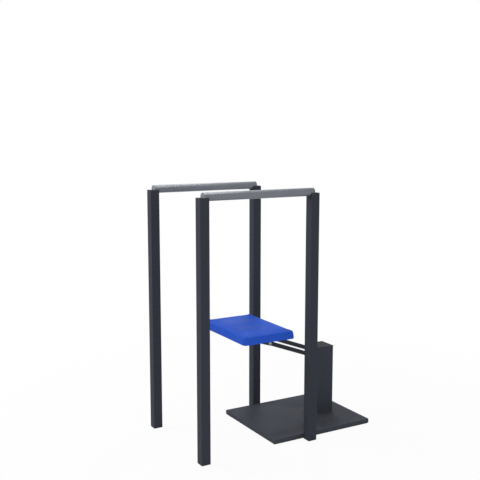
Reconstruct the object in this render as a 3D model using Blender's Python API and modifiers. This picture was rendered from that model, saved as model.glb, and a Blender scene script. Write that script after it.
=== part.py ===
"""Assisted dip machine: two grip rails on four posts, and a sprung kneeling pad on two level arms.

Metres, +Z up. The user faces -Y. Left is -X, as seen from the front.
The origin is at the middle of the machine's footprint, on the floor.
"""

import math

import bmesh
import bpy
from mathutils import Vector

# Frame of posts and rails
POST_SIDE = 0.047
POST_WALL = 0.0025
POST_EDGE = 0.0015
POST_HEIGHT = 1.250
POST_SPACING_X = 0.544
POST_SPACING_Y = 0.603
SADDLE_HEIGHT = 0.030
SADDLE_SPIGOT = 0.025
FOOT_FLANGE = 0.003
FOOT_SPIGOT = 0.022
RAIL_RADIUS = 0.020
RAIL_WALL = 0.0025
RAIL_AXIS_RISE = 0.004
RAIL_SCREW_INSET = 0.014
RAIL_SCREW_RADIUS = 0.004
RAIL_SCREW_HEAD_RADIUS = 0.0065
RAIL_SCREW_HEAD_HEIGHT = 0.006
RAIL_SCREW_DEPTH = 0.010
PLUG_FLANGE = 0.002
PLUG_SPIGOT = 0.004

# Base plate, its mat and its bolts
PLATE_FRONT_Y = 0.103
PLATE_REAR_Y = 0.698
PLATE_TOP = 0.0257
PLATE_EDGE = 0.0015
MAT_THICKNESS = 0.003
MAT_INSET = 0.004
FRAME_BOLT_RADIUS = 0.005
FRAME_BOLT_HEAD_RADIUS = 0.008
FRAME_BOLT_CROWN_RADIUS = 0.0056
FRAME_BOLT_HEAD = 0.003
FRAME_BOLT_RIM = 0.0012
FRAME_BOLT_GRIP = 0.030
COLUMN_BOLT_RADIUS = 0.005
COLUMN_BOLT_HEAD_RADIUS = 0.009
COLUMN_BOLT_HEAD = 0.006
COLUMN_BOLT_DEPTH = 0.018
COLUMN_BOLT_OFFSET_X = 0.034

# Column
COLUMN_SIDE = 0.103
COLUMN_WALL = 0.003
COLUMN_EDGE = 0.0015
COLUMN_REAR_MARGIN = 0.095
COLUMN_TOP = 0.394
CAP_THICKNESS = 0.003
CAP_SPIGOT = 0.004
CAP_SPIGOT_WALL = 0.004
FOOT_BLOCK_HEIGHT = 0.025
DECK_THICKNESS = 0.008
DECK_LEG = 0.0065
DECK_ROOM = 0.027
MAST_THICKNESS = 0.006
MAST_WIDTH = 0.030
MAST_TOP_MARGIN = 0.0025

# Arms: two parallel bars that keep the pad level
PIVOT_INSET = 0.077
LOWER_PIVOT_Z = 0.3316
LINK_Y = 0.215
LOWER_LINK_Z = 0.450
ARM_SEPARATION = 0.032
ARM_WIDTH = 0.036
ARM_DEPTH = 0.020
ARM_TRAVEL_DEG = 50.0
CRANK_LENGTH = 0.047
PIN_RADIUS = 0.006
PIN_HEAD_RADIUS = 0.009
PIN_HEAD = 0.0025
PIN_TAIL = 0.002
BUSH_WALL = 0.0018

# Stops
STOP_BAR_HEIGHT = 0.010
STOP_BAR_TOP = 0.300
BUFFER_RADIUS = 0.006
BUFFER_SPREAD = 0.0075
BUFFER_SIDES = 24

# Spring assistance
SPRING_WIRE = 0.005
SPRING_COIL_RADIUS = 0.0115
SPRING_CURLS = 22
SPRING_POINTS_PER_CURL = 8
SPRING_OFFSET_X = 0.028
SPRING_END = 0.0055
YOKE_HALF_WIDTH = 0.043
YOKE_DEPTH = 0.016
YOKE_PLATE = 0.008
YOKE_DROP = 0.017
YOKE_EAR = 0.006
YOKE_EAR_RADIUS = 0.011
CARRIAGE_HALF_WIDTH = 0.043
CARRIAGE_DEPTH = 0.026
CARRIAGE_HEIGHT = 0.022
CARRIAGE_BOTTOM = 0.110
CARRIAGE_TRAVEL = 0.020
CARRIAGE_TONGUE = 0.0075
SCREW_RADIUS = 0.008
SCREW_JOURNAL_RADIUS = 0.005
SCREW_JOURNAL = 0.008
SCREW_MARGIN = 0.012
WHEEL_RADIUS = 0.040
WHEEL_THICKNESS = 0.016
WHEEL_CHAMFER = 0.002
WASHER_RADIUS = 0.015
WASHER_THICKNESS = 0.003

# Pad and its bracket
PAD_WIDTH = 0.437
PAD_FRONT_Y = -0.052
PAD_REAR_Y = 0.243
PAD_BOTTOM = 0.516
PAD_THICKNESS = 0.044
PAD_CORNER = 0.017
PAD_TOP_EDGE = 0.014
PAD_FOOT_EDGE = 0.005
PAD_CROWN = 0.003
PAD_DRAW = 0.002
PAD_GRID = (6, 5, 1)
BOARD_THICKNESS = 0.009
BOARD_INSET = 0.018
BRACKET_MARGIN = 0.0685
BRACKET_FRONT_Y = 0.000
BRACKET_PLATE = 0.005
BRACKET_EAR = 0.006
BRACKET_BOSS = 0.011
BRACKET_BOSS_START_DEG = -120.0
PAD_SCREW_RADIUS = 0.003
PAD_SCREW_HEAD_RADIUS = 0.006
PAD_SCREW_HEAD = 0.003
PAD_SCREW_DEPTH = 0.006
PAD_SCREW_INSET = 0.022

# Fits
SEAT_GAP = 0.0003
PIVOT_PLAY = 0.0002
SIDE_PLAY = 0.001
SLOT_PLAY = 0.003
SCREW_HOLE_PLAY = 0.0004
CUT_OVERRUN = 0.010
CAP_WELD = 0.000005
POLE_WELD = 0.00005
ROUND_SIDES = 32
RAIL_SIDES = 40
PIN_SIDES = 24
SCREW_SIDES = 16
SHARP_ANGLE = math.radians(35)

# Places worked out from the sizes above, with the middle of the four posts as Y = 0
COLUMN_REAR_Y = PLATE_REAR_Y - COLUMN_REAR_MARGIN
PIVOT_Y = COLUMN_REAR_Y - PIVOT_INSET
BRACKET_WIDTH = PAD_WIDTH - 2 * BRACKET_MARGIN
REST_ANGLE = math.atan2(LOWER_LINK_Z - LOWER_PIVOT_Z, PIVOT_Y - LINK_Y)
DOWN_ANGLE = math.radians(ARM_TRAVEL_DEG) - REST_ANGLE
UPPER_PIVOT_Z = LOWER_PIVOT_Z + ARM_SEPARATION
UPPER_LINK_Z = LOWER_LINK_Z + ARM_SEPARATION
CRANK_Y_REST = PIVOT_Y + CRANK_LENGTH * math.cos(REST_ANGLE)
CRANK_Z_REST = LOWER_PIVOT_Z - CRANK_LENGTH * math.sin(REST_ANGLE)
CRANK_Y_LEAST = PIVOT_Y + CRANK_LENGTH * min(math.cos(REST_ANGLE), math.cos(DOWN_ANGLE))
CRANK_Y_MOST = PIVOT_Y + CRANK_LENGTH
SPRING_Y = (CRANK_Y_LEAST + CRANK_Y_MOST) / 2
COLUMN_MID_Y = COLUMN_REAR_Y - COLUMN_SIDE / 2
COLUMN_FRONT_Y = COLUMN_REAR_Y - COLUMN_SIDE
RAIL_AXIS_Z = POST_HEIGHT + RAIL_AXIS_RISE
TUBE_BOTTOM = FOOT_FLANGE + SEAT_GAP
TUBE_TOP = POST_HEIGHT - SADDLE_HEIGHT - SEAT_GAP
PLATE_BOTTOM = MAT_THICKNESS + SEAT_GAP
PLATE_MID_Z = (PLATE_TOP + PLATE_BOTTOM) / 2
FOOT_BLOCK_BOTTOM = PLATE_TOP + SEAT_GAP
FOOT_BLOCK_TOP = FOOT_BLOCK_BOTTOM + FOOT_BLOCK_HEIGHT
DECK_LEG_BOTTOM = FOOT_BLOCK_TOP + SEAT_GAP
DECK_BOTTOM = DECK_LEG_BOTTOM + DECK_ROOM
DECK_TOP = DECK_BOTTOM + DECK_THICKNESS
SHELL_TOP = COLUMN_TOP - CAP_THICKNESS - SEAT_GAP
CHEEK_INNER = ARM_WIDTH / 2 + SIDE_PLAY
WASHER_BOTTOM = DECK_BOTTOM - SEAT_GAP - WASHER_THICKNESS
WHEEL_TOP = WASHER_BOTTOM - SEAT_GAP
WHEEL_BOTTOM = WHEEL_TOP - WHEEL_THICKNESS
CARRIAGE_TOP = CARRIAGE_BOTTOM + CARRIAGE_HEIGHT
YOKE_PLATE_TOP = CRANK_Z_REST - YOKE_DROP
YOKE_PLATE_BOTTOM = YOKE_PLATE_TOP - YOKE_PLATE
BRACKET_TOP = PAD_BOTTOM - SEAT_GAP
BRACKET_BOTTOM = BRACKET_TOP - BRACKET_PLATE
POST_PLACES = {
    "front_left": (-POST_SPACING_X / 2, -POST_SPACING_Y / 2),
    "front_right": (POST_SPACING_X / 2, -POST_SPACING_Y / 2),
    "rear_left": (-POST_SPACING_X / 2, POST_SPACING_Y / 2),
    "rear_right": (POST_SPACING_X / 2, POST_SPACING_Y / 2),
}
FOOTPRINT_FRONT_Y = -POST_SPACING_Y / 2 - POST_SIDE / 2
ORIGIN_SHIFT_Y = -(FOOTPRINT_FRONT_Y + PLATE_REAR_Y) / 2

# Turns that stand a flat outline up in Y and Z, or that lay a profile's own axis along X or Y
OUTLINE_TO_YZ = (math.pi / 2, 0, math.pi / 2)
AXIS_TO_X = (0, math.pi / 2, 0)
AXIS_TO_MINUS_X = (0, -math.pi / 2, 0)
AXIS_TO_Y = (-math.pi / 2, 0, 0)
AXIS_TO_MINUS_Y = (math.pi / 2, 0, 0)


def clear_scene():
    for old in list(bpy.data.objects):
        bpy.data.objects.remove(old, do_unlink=True)


def make_collection(name):
    collection = bpy.data.collections.new(name)
    bpy.context.scene.collection.children.link(collection)
    return collection


def linear(channel):
    """One 8-bit screen channel as a linear value."""
    share = channel / 255
    return share / 12.92 if share <= 0.04045 else ((share + 0.055) / 1.055) ** 2.4


def make_material(name, screen_colour, roughness, metallic=0.0):
    material = bpy.data.materials.new(name)
    material.use_nodes = True
    shader = material.node_tree.nodes["Principled BSDF"]
    shader.inputs["Base Color"].default_value = [linear(c) for c in screen_colour] + [1]
    shader.inputs["Roughness"].default_value = roughness
    shader.inputs["Metallic"].default_value = metallic
    return material


clear_scene()
MACHINE = make_collection("assisted_dip_machine")
CUTTERS = make_collection("cutters")
FRAME_PAINT = make_material("frame_paint", (56, 59, 68), 0.45)
RAIL_STEEL = make_material("rail_steel", (150, 152, 158), 0.28, 0.9)
PAD_VINYL = make_material("pad_vinyl", (58, 92, 205), 0.45)
BLACK_RUBBER = make_material("black_rubber", (38, 39, 43), 0.85)
PLUG_PLASTIC = make_material("plug_plastic", (140, 142, 146), 0.5)
ZINC_STEEL = make_material("zinc_steel", (170, 172, 176), 0.35, 1.0)
SPRING_STEEL = make_material("spring_steel", (92, 94, 99), 0.35, 1.0)
BRONZE = make_material("bronze", (150, 110, 66), 0.4, 1.0)
PLYWOOD = make_material("plywood", (178, 142, 98), 0.7)
WHEEL_IRON = make_material("wheel_iron", (45, 47, 52), 0.5, 1.0)


def post_frame():
    """The empty at the middle of the four posts, which carries every piece."""
    empty = bpy.data.objects.new("post_frame", None)
    empty.location = (0, ORIGIN_SHIFT_Y, 0)
    MACHINE.objects.link(empty)
    return empty


POST_FRAME = post_frame()


def add_object(name, data, material, location=(0, 0, 0), rotation=(0, 0, 0)):
    piece = bpy.data.objects.new(name, data)
    if material:
        data.materials.append(material)
        MACHINE.objects.link(piece)
    else:
        CUTTERS.objects.link(piece)
        piece.hide_render = True
        piece.display_type = "WIRE"
    piece.location = location
    piece.rotation_euler = rotation
    piece.parent = POST_FRAME
    return piece


def mesh_from(bm, name):
    bmesh.ops.recalc_face_normals(bm, faces=bm.faces)
    mesh = bpy.data.meshes.new(name)
    bm.to_mesh(mesh)
    bm.free()
    return mesh


def smooth(mesh):
    mesh.shade_smooth()
    mesh.set_sharp_from_angle(angle=SHARP_ANGLE)


def block(name, low, high, material, upright_edge=0.0, all_edges=0.0):
    """A box between two corners, with its upright edges or all of its edges rounded."""
    middle = (Vector(low) + Vector(high)) / 2
    bm = bmesh.new()
    bmesh.ops.create_cube(bm, size=1)
    size = Vector(high) - Vector(low)
    bmesh.ops.scale(bm, vec=size, verts=bm.verts)
    width = all_edges or upright_edge
    if width:
        upright = [e for e in bm.edges if abs(e.verts[0].co.z - e.verts[1].co.z) > size.z / 2]
        edges = list(bm.edges) if all_edges else upright
        bmesh.ops.bevel(bm, geom=edges, offset=width, segments=2, affect="EDGES", profile=0.5)
    return add_object(name, mesh_from(bm, name), material, middle)


def rod(name, centre, radius, length, material=None, rotation=(0, 0, 0), sides=ROUND_SIDES):
    """A round bar, or a round cutter, centred on a point along its local Z."""
    bm = bmesh.new()
    bmesh.ops.create_cone(
        bm, cap_ends=True, segments=sides, radius1=radius, radius2=radius, depth=length
    )
    mesh = mesh_from(bm, name)
    smooth(mesh)
    return add_object(name, mesh, material, centre, rotation)


def turned(name, profile, material, location, rotation=(0, 0, 0), sides=ROUND_SIDES):
    """A solid of revolution from (radius, height) points, listed from the top down."""
    mesh = bpy.data.meshes.new(name)
    points = [(radius, 0, height) for radius, height in profile]
    edges = [(i, i + 1) for i in range(len(points) - 1)]
    mesh.from_pydata(points, edges, [])
    piece = add_object(name, mesh, material, location, rotation)
    screw = piece.modifiers.new("turn", "SCREW")
    screw.steps = sides
    screw.render_steps = sides
    screw.use_merge_vertices = True
    screw.merge_threshold = POLE_WELD
    return piece


def circle_points(centre, radius, sides=PIN_SIDES):
    steps = [2 * math.pi * i / sides for i in range(sides)]
    return [(centre[0] + radius * math.cos(a), centre[1] + radius * math.sin(a)) for a in steps]


def arc_points(centre, radius, start, end, count=12):
    steps = [start + (end - start) * i / count for i in range(count + 1)]
    return [(centre[0] + radius * math.cos(a), centre[1] + radius * math.sin(a)) for a in steps]


def bar_outline(first, last, radius):
    """The outline of a bar with round ends about two points."""
    along = math.atan2(last[1] - first[1], last[0] - first[0])
    quarter = math.pi / 2
    start = arc_points(first, radius, along + quarter, along + 3 * quarter)
    end = arc_points(last, radius, along - quarter, along + quarter)
    return start + end


def flat_plate(name, outline, holes, thickness, material, centre_x, origin=(0.0, 0.0)):
    """A plate drawn in Y and Z, with holes, as thick along X as stated."""
    curve = bpy.data.curves.new(name, "CURVE")
    curve.dimensions = "2D"
    curve.fill_mode = "BOTH"
    curve.extrude = thickness / 2
    for points in [outline] + holes:
        spline = curve.splines.new("POLY")
        spline.points.add(len(points) - 1)
        for point, (y, z) in zip(spline.points, points):
            point.co = (y - origin[0], z - origin[1], 0, 1)
        spline.use_cyclic_u = True
    shape = bpy.data.objects.new(name + "_outline", curve)
    MACHINE.objects.link(shape)
    mesh = welded_mesh(shape, name)
    smooth(mesh)
    return add_object(name, mesh, material, (centre_x, origin[0], origin[1]), OUTLINE_TO_YZ)


def welded_mesh(curve_object, name):
    """A curve object's surface as a mesh with its caps welded, in place of the curve."""
    depsgraph = bpy.context.evaluated_depsgraph_get()
    mesh = bpy.data.meshes.new_from_object(curve_object.evaluated_get(depsgraph))
    bpy.data.objects.remove(curve_object, do_unlink=True)
    mesh.name = name
    mesh.materials.clear()
    bm = bmesh.new()
    bm.from_mesh(mesh)
    bmesh.ops.remove_doubles(bm, verts=bm.verts, dist=CAP_WELD)
    bmesh.ops.recalc_face_normals(bm, faces=bm.faces)
    bm.to_mesh(mesh)
    bm.free()
    return mesh


def shape_with(piece, other, operation):
    """Cuts a cutter from a piece, or joins it to the piece."""
    modifier = piece.modifiers.new(operation.lower(), "BOOLEAN")
    modifier.operation = operation
    modifier.object = other
    modifier.solver = "EXACT"
    return piece


def cut(piece, *cutters):
    for cutter in cutters:
        shape_with(piece, cutter, "DIFFERENCE")
    return piece


def join(piece, *additions):
    for addition in additions:
        shape_with(piece, addition, "UNION")
    return piece


def build_side_frames():
    """Posts, foot plugs, saddles, rails and what holds them."""
    inner = POST_SIDE / 2 - POST_WALL
    spigot = inner - SEAT_GAP
    half = POST_SIDE / 2
    rail_front = -POST_SPACING_Y / 2
    rail_rear = POST_SPACING_Y / 2
    saddle_bottom = POST_HEIGHT - SADDLE_HEIGHT
    groove_floor = RAIL_AXIS_Z - RAIL_RADIUS - SEAT_GAP
    for place, (x, y) in POST_PLACES.items():
        inward = 1 if y < 0 else -1
        outward = 1 if x > 0 else -1
        post = block(
            place + "_post",
            (x - half, y - half, TUBE_BOTTOM),
            (x + half, y + half, TUBE_TOP),
            FRAME_PAINT,
            upright_edge=POST_EDGE,
        )
        bore = block(
            place + "_post_bore",
            (x - inner, y - inner, TUBE_BOTTOM - CUT_OVERRUN),
            (x + inner, y + inner, TUBE_TOP + CUT_OVERRUN),
            None,
        )
        cut(post, bore)

        foot = block(
            place + "_foot",
            (x - half, y - half, 0),
            (x + half, y + half, FOOT_FLANGE),
            BLACK_RUBBER,
            upright_edge=POST_EDGE,
        )
        foot_spigot = block(
            place + "_foot_spigot",
            (x - spigot, y - spigot, FOOT_FLANGE / 2),
            (x + spigot, y + spigot, FOOT_FLANGE + FOOT_SPIGOT),
            None,
        )
        join(foot, foot_spigot)
        if y > 0:
            passage = rod(
                place + "_bolt_passage",
                (x, y, PLATE_MID_Z),
                FRAME_BOLT_RADIUS + SCREW_HOLE_PLAY,
                POST_SIDE + 2 * CUT_OVERRUN,
                rotation=AXIS_TO_X,
            )
            cut(post, passage)
            cut(foot, passage)
            build_frame_bolt(place, x, y, outward)

        saddle = block(
            place + "_saddle",
            (x - half, y - half, saddle_bottom),
            (x + half, y + half, POST_HEIGHT),
            FRAME_PAINT,
            upright_edge=POST_EDGE,
        )
        saddle_spigot = block(
            place + "_saddle_spigot",
            (x - spigot, y - spigot, saddle_bottom - SADDLE_SPIGOT),
            (x + spigot, y + spigot, (saddle_bottom + groove_floor) / 2),
            None,
        )
        groove_length = half + SEAT_GAP + CUT_OVERRUN
        groove_middle = y - inward * SEAT_GAP + inward * groove_length / 2
        groove = rod(
            place + "_groove",
            (x, groove_middle, RAIL_AXIS_Z),
            RAIL_RADIUS + SEAT_GAP,
            groove_length,
            rotation=AXIS_TO_Y,
        )
        join(saddle, saddle_spigot)
        cut(saddle, groove)
        build_rail_screw(place, x, y + inward * RAIL_SCREW_INSET, saddle)
        build_rail_plug(place, x, y, inward)

    for side, x in (("left", -POST_SPACING_X / 2), ("right", POST_SPACING_X / 2)):
        build_rail(side, x, rail_front + PLUG_FLANGE + SEAT_GAP, rail_rear - PLUG_FLANGE - SEAT_GAP)


def rail_screw_head_z():
    """Height of the screw head's underside, where its rim touches the rail's curved inner wall."""
    bore = RAIL_RADIUS - RAIL_WALL
    return RAIL_AXIS_Z - math.sqrt(bore**2 - RAIL_SCREW_HEAD_RADIUS**2) + SEAT_GAP


def rail_screw_tip_z():
    return RAIL_AXIS_Z - RAIL_RADIUS - RAIL_SCREW_DEPTH


def rail_screw_hole(name, x, y):
    tip = rail_screw_tip_z() - SEAT_GAP
    return rod(
        name,
        (x, y, (tip + RAIL_AXIS_Z) / 2),
        RAIL_SCREW_RADIUS + SCREW_HOLE_PLAY,
        RAIL_AXIS_Z - tip,
    )


def build_rail_screw(place, x, y, saddle):
    """The screw whose head lies inside the rail and whose shank holds in the saddle."""
    head_z = rail_screw_head_z()
    tip_z = rail_screw_tip_z()
    profile = [
        (0, head_z + RAIL_SCREW_HEAD_HEIGHT),
        (RAIL_SCREW_HEAD_RADIUS, head_z + RAIL_SCREW_HEAD_HEIGHT),
        (RAIL_SCREW_HEAD_RADIUS, head_z),
        (RAIL_SCREW_RADIUS, head_z),
        (RAIL_SCREW_RADIUS, tip_z),
        (0, tip_z),
    ]
    turned(place + "_rail_screw", profile, ZINC_STEEL, (x, y, 0), sides=SCREW_SIDES)
    cut(saddle, rail_screw_hole(place + "_saddle_hole", x, y))


def build_rail_plug(place, x, y, inward):
    """The plug that closes a rail's end, with its flange at the post's middle."""
    bore = RAIL_RADIUS - RAIL_WALL - SEAT_GAP
    profile = [
        (0, 0),
        (RAIL_RADIUS, 0),
        (RAIL_RADIUS, -PLUG_FLANGE),
        (bore, -PLUG_FLANGE),
        (bore, -PLUG_FLANGE - PLUG_SPIGOT),
        (0, -PLUG_FLANGE - PLUG_SPIGOT),
    ]
    rotation = AXIS_TO_MINUS_Y if inward > 0 else AXIS_TO_Y
    turned(place + "_rail_plug", profile, PLUG_PLASTIC, (x, y, RAIL_AXIS_Z), rotation, RAIL_SIDES)


def build_rail(side, x, front, rear):
    length = rear - front
    middle = (front + rear) / 2
    rail = rod(
        side + "_rail",
        (x, middle, RAIL_AXIS_Z),
        RAIL_RADIUS,
        length,
        RAIL_STEEL,
        AXIS_TO_Y,
        RAIL_SIDES,
    )
    bore = rod(
        side + "_rail_bore",
        (x, middle, RAIL_AXIS_Z),
        RAIL_RADIUS - RAIL_WALL,
        length + 2 * CUT_OVERRUN,
        rotation=AXIS_TO_Y,
        sides=RAIL_SIDES,
    )
    holes = [
        rail_screw_hole(side + "_rail_front_hole", x, -POST_SPACING_Y / 2 + RAIL_SCREW_INSET),
        rail_screw_hole(side + "_rail_rear_hole", x, POST_SPACING_Y / 2 - RAIL_SCREW_INSET),
    ]
    cut(rail, bore, *holes)


def build_frame_bolt(place, x, y, outward):
    """The bolt through a rear post into the plate's edge, with its head on the outer face."""
    face = POST_SIDE / 2 + SEAT_GAP
    tip = -POST_SIDE / 2 - SEAT_GAP - FRAME_BOLT_GRIP
    profile = [
        (0, face + FRAME_BOLT_HEAD),
        (FRAME_BOLT_CROWN_RADIUS, face + FRAME_BOLT_HEAD),
        (FRAME_BOLT_HEAD_RADIUS, face + FRAME_BOLT_RIM),
        (FRAME_BOLT_HEAD_RADIUS, face),
        (FRAME_BOLT_RADIUS, face),
        (FRAME_BOLT_RADIUS, tip),
        (0, tip),
    ]
    rotation = AXIS_TO_X if outward > 0 else AXIS_TO_MINUS_X
    centre = (x, y, PLATE_MID_Z)
    turned(place + "_frame_bolt", profile, FRAME_PAINT, centre, rotation, SCREW_SIDES)


def column_bolt_places():
    return [
        ("left", -COLUMN_BOLT_OFFSET_X, COLUMN_MID_Y),
        ("right", COLUMN_BOLT_OFFSET_X, COLUMN_MID_Y),
    ]


def build_base():
    """The base plate between the rear posts, its mat, and the bolts that hold the column."""
    half = POST_SPACING_X / 2 - POST_SIDE / 2 - SEAT_GAP
    plate = block(
        "base_plate",
        (-half, PLATE_FRONT_Y, PLATE_BOTTOM),
        (half, PLATE_REAR_Y, PLATE_TOP),
        FRAME_PAINT,
        all_edges=PLATE_EDGE,
    )
    block(
        "base_mat",
        (-half + MAT_INSET, PLATE_FRONT_Y + MAT_INSET, 0),
        (half - MAT_INSET, PLATE_REAR_Y - MAT_INSET, MAT_THICKNESS),
        BLACK_RUBBER,
    )
    for side, direction in (("left", -1), ("right", 1)):
        depth = FRAME_BOLT_GRIP + 2 * SEAT_GAP
        hole = rod(
            side + "_plate_edge_hole",
            (direction * (half - (depth - CUT_OVERRUN) / 2), POST_SPACING_Y / 2, PLATE_MID_Z),
            FRAME_BOLT_RADIUS + SCREW_HOLE_PLAY,
            depth + CUT_OVERRUN,
            rotation=AXIS_TO_X,
        )
        cut(plate, hole)

    seat_z = PLATE_BOTTOM + COLUMN_BOLT_HEAD + SEAT_GAP
    tip_z = FOOT_BLOCK_BOTTOM + COLUMN_BOLT_DEPTH
    for side, x, y in column_bolt_places():
        counterbore = rod(
            side + "_counterbore",
            (x, y, (seat_z + PLATE_BOTTOM - CUT_OVERRUN) / 2),
            COLUMN_BOLT_HEAD_RADIUS + SCREW_HOLE_PLAY,
            seat_z - PLATE_BOTTOM + CUT_OVERRUN,
        )
        shank_hole = rod(
            side + "_plate_hole",
            (x, y, PLATE_MID_Z),
            COLUMN_BOLT_RADIUS + SCREW_HOLE_PLAY,
            PLATE_TOP + CUT_OVERRUN,
        )
        cut(plate, counterbore, shank_hole)
        profile = [
            (0, tip_z),
            (COLUMN_BOLT_RADIUS, tip_z),
            (COLUMN_BOLT_RADIUS, seat_z - SEAT_GAP),
            (COLUMN_BOLT_HEAD_RADIUS, seat_z - SEAT_GAP),
            (COLUMN_BOLT_HEAD_RADIUS, seat_z - SEAT_GAP - COLUMN_BOLT_HEAD),
            (0, seat_z - SEAT_GAP - COLUMN_BOLT_HEAD),
        ]
        turned(side + "_column_bolt", profile, ZINC_STEEL, (x, y, 0), sides=SCREW_SIDES)


def build_column():
    """The shell, its cap, and the foot block, deck and masts inside it."""
    half = COLUMN_SIDE / 2
    inner = half - COLUMN_WALL
    fit = inner - SEAT_GAP
    mid = COLUMN_MID_Y
    shell = block(
        "column_shell",
        (-half, mid - half, FOOT_BLOCK_BOTTOM),
        (half, mid + half, SHELL_TOP),
        FRAME_PAINT,
        upright_edge=COLUMN_EDGE,
    )
    bore = block(
        "column_bore",
        (-inner, mid - inner, FOOT_BLOCK_BOTTOM - CUT_OVERRUN),
        (inner, mid + inner, SHELL_TOP + CUT_OVERRUN),
        None,
    )
    reach = PIVOT_Y - COLUMN_FRONT_Y
    slot_half = ARM_WIDTH / 2 + SLOT_PLAY
    rise = reach * math.tan(REST_ANGLE) + ARM_DEPTH / 2 / math.cos(REST_ANGLE)
    drop = reach * math.tan(DOWN_ANGLE) + ARM_DEPTH / 2 / math.cos(DOWN_ANGLE)
    arm_slot = block(
        "arm_slot",
        (-slot_half, COLUMN_FRONT_Y - CUT_OVERRUN, LOWER_PIVOT_Z - drop - SLOT_PLAY),
        (slot_half, COLUMN_FRONT_Y + CUT_OVERRUN, UPPER_PIVOT_Z + rise + SLOT_PLAY),
        None,
    )
    wall_reach = COLUMN_REAR_Y - COLUMN_WALL - SPRING_Y
    window_half = math.sqrt(WHEEL_RADIUS**2 - wall_reach**2) + SLOT_PLAY
    wheel_window = block(
        "wheel_window",
        (-window_half, COLUMN_REAR_Y - CUT_OVERRUN, WHEEL_BOTTOM - SLOT_PLAY),
        (window_half, COLUMN_REAR_Y + CUT_OVERRUN, WHEEL_TOP + SLOT_PLAY),
        None,
    )
    cut(shell, bore, arm_slot, wheel_window)

    cap = block(
        "column_cap",
        (-half, mid - half, COLUMN_TOP - CAP_THICKNESS),
        (half, mid + half, COLUMN_TOP),
        FRAME_PAINT,
        upright_edge=COLUMN_EDGE,
    )
    spigot = block(
        "cap_spigot",
        (-fit, mid - fit, SHELL_TOP - CAP_SPIGOT),
        (fit, mid + fit, COLUMN_TOP - CAP_THICKNESS / 2),
        None,
    )
    hollow_half = fit - CAP_SPIGOT_WALL
    hollow = block(
        "cap_hollow",
        (-hollow_half, mid - hollow_half, SHELL_TOP - CAP_SPIGOT - CUT_OVERRUN),
        (hollow_half, mid + hollow_half, COLUMN_TOP - CAP_THICKNESS),
        None,
    )
    join(cap, spigot)
    cut(cap, hollow)

    foot = block(
        "column_foot",
        (-fit, mid - fit, FOOT_BLOCK_BOTTOM),
        (fit, mid + fit, FOOT_BLOCK_TOP),
        FRAME_PAINT,
    )
    for side, x, y in column_bolt_places():
        depth = COLUMN_BOLT_DEPTH + SEAT_GAP
        hole = rod(
            side + "_foot_hole",
            (x, y, FOOT_BLOCK_BOTTOM + (depth - CUT_OVERRUN) / 2),
            COLUMN_BOLT_RADIUS + SCREW_HOLE_PLAY,
            depth + CUT_OVERRUN,
        )
        cut(foot, hole)
    journal_depth = SCREW_JOURNAL + SEAT_GAP
    journal_hole = rod(
        "journal_hole",
        (0, SPRING_Y, FOOT_BLOCK_TOP - (journal_depth - CUT_OVERRUN) / 2),
        SCREW_JOURNAL_RADIUS + SEAT_GAP,
        journal_depth + CUT_OVERRUN,
    )
    cut(foot, journal_hole)

    deck = block(
        "mechanism_deck",
        (-fit, mid - fit, DECK_LEG_BOTTOM),
        (fit, mid + fit, DECK_TOP),
        FRAME_PAINT,
    )
    under_deck = block(
        "under_deck",
        (-fit + DECK_LEG, mid - half - CUT_OVERRUN, DECK_LEG_BOTTOM - CUT_OVERRUN),
        (fit - DECK_LEG, mid + half + CUT_OVERRUN, DECK_BOTTOM),
        None,
    )
    deck_hole = rod(
        "deck_hole",
        (0, SPRING_Y, DECK_TOP),
        SCREW_RADIUS + SEAT_GAP,
        2 * (DECK_THICKNESS + CUT_OVERRUN),
    )
    cut(deck, under_deck, deck_hole)
    build_masts()


def build_masts():
    """The two plates that carry the pivots, and the stop bar with its buffers between them."""
    bottom = DECK_TOP + SEAT_GAP
    top = SHELL_TOP - CAP_SPIGOT - MAST_TOP_MARGIN
    front = PIVOT_Y - MAST_WIDTH / 2
    rear = PIVOT_Y + MAST_WIDTH / 2
    outline = [(front, bottom), (rear, bottom), (rear, top), (front, top)]
    pin_holes = [
        circle_points((PIVOT_Y, LOWER_PIVOT_Z), PIN_RADIUS + SEAT_GAP),
        circle_points((PIVOT_Y, UPPER_PIVOT_Z), PIN_RADIUS + SEAT_GAP),
    ]
    for side, direction in (("left", -1), ("right", 1)):
        centre_x = direction * (CHEEK_INNER + MAST_THICKNESS / 2)
        flat_plate(side + "_mast", outline, pin_holes, MAST_THICKNESS, FRAME_PAINT, centre_x)

    bar_half = CHEEK_INNER - SEAT_GAP
    block(
        "stop_bar",
        (-bar_half, front + SEAT_GAP, STOP_BAR_TOP - STOP_BAR_HEIGHT),
        (bar_half, rear - SEAT_GAP, STOP_BAR_TOP),
        FRAME_PAINT,
    )
    contact = BUFFER_SPREAD + BUFFER_RADIUS
    for name, y, slope in (
        ("down_buffer", PIVOT_Y - BUFFER_SPREAD, DOWN_ANGLE),
        ("up_buffer", PIVOT_Y + BUFFER_SPREAD, REST_ANGLE),
    ):
        underside = contact * math.tan(slope) + ARM_DEPTH / 2 / math.cos(slope)
        top_z = LOWER_PIVOT_Z - underside - SEAT_GAP / math.cos(slope)
        low_z = STOP_BAR_TOP + SEAT_GAP
        middle = (0, y, (low_z + top_z) / 2)
        rod(name, middle, BUFFER_RADIUS, top_z - low_z, BLACK_RUBBER, sides=BUFFER_SIDES)


def build_pin(name, y, z, reach):
    """A headed pin along X that passes two cheeks and stands a little proud at its tail."""
    head = reach + SEAT_GAP
    profile = [
        (0, head + PIN_HEAD),
        (PIN_HEAD_RADIUS, head + PIN_HEAD),
        (PIN_HEAD_RADIUS, head),
        (PIN_RADIUS, head),
        (PIN_RADIUS, -reach - PIN_TAIL),
        (0, -reach - PIN_TAIL),
    ]
    return turned(name, profile, ZINC_STEEL, (0, y, z), AXIS_TO_MINUS_X, PIN_SIDES)


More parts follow.
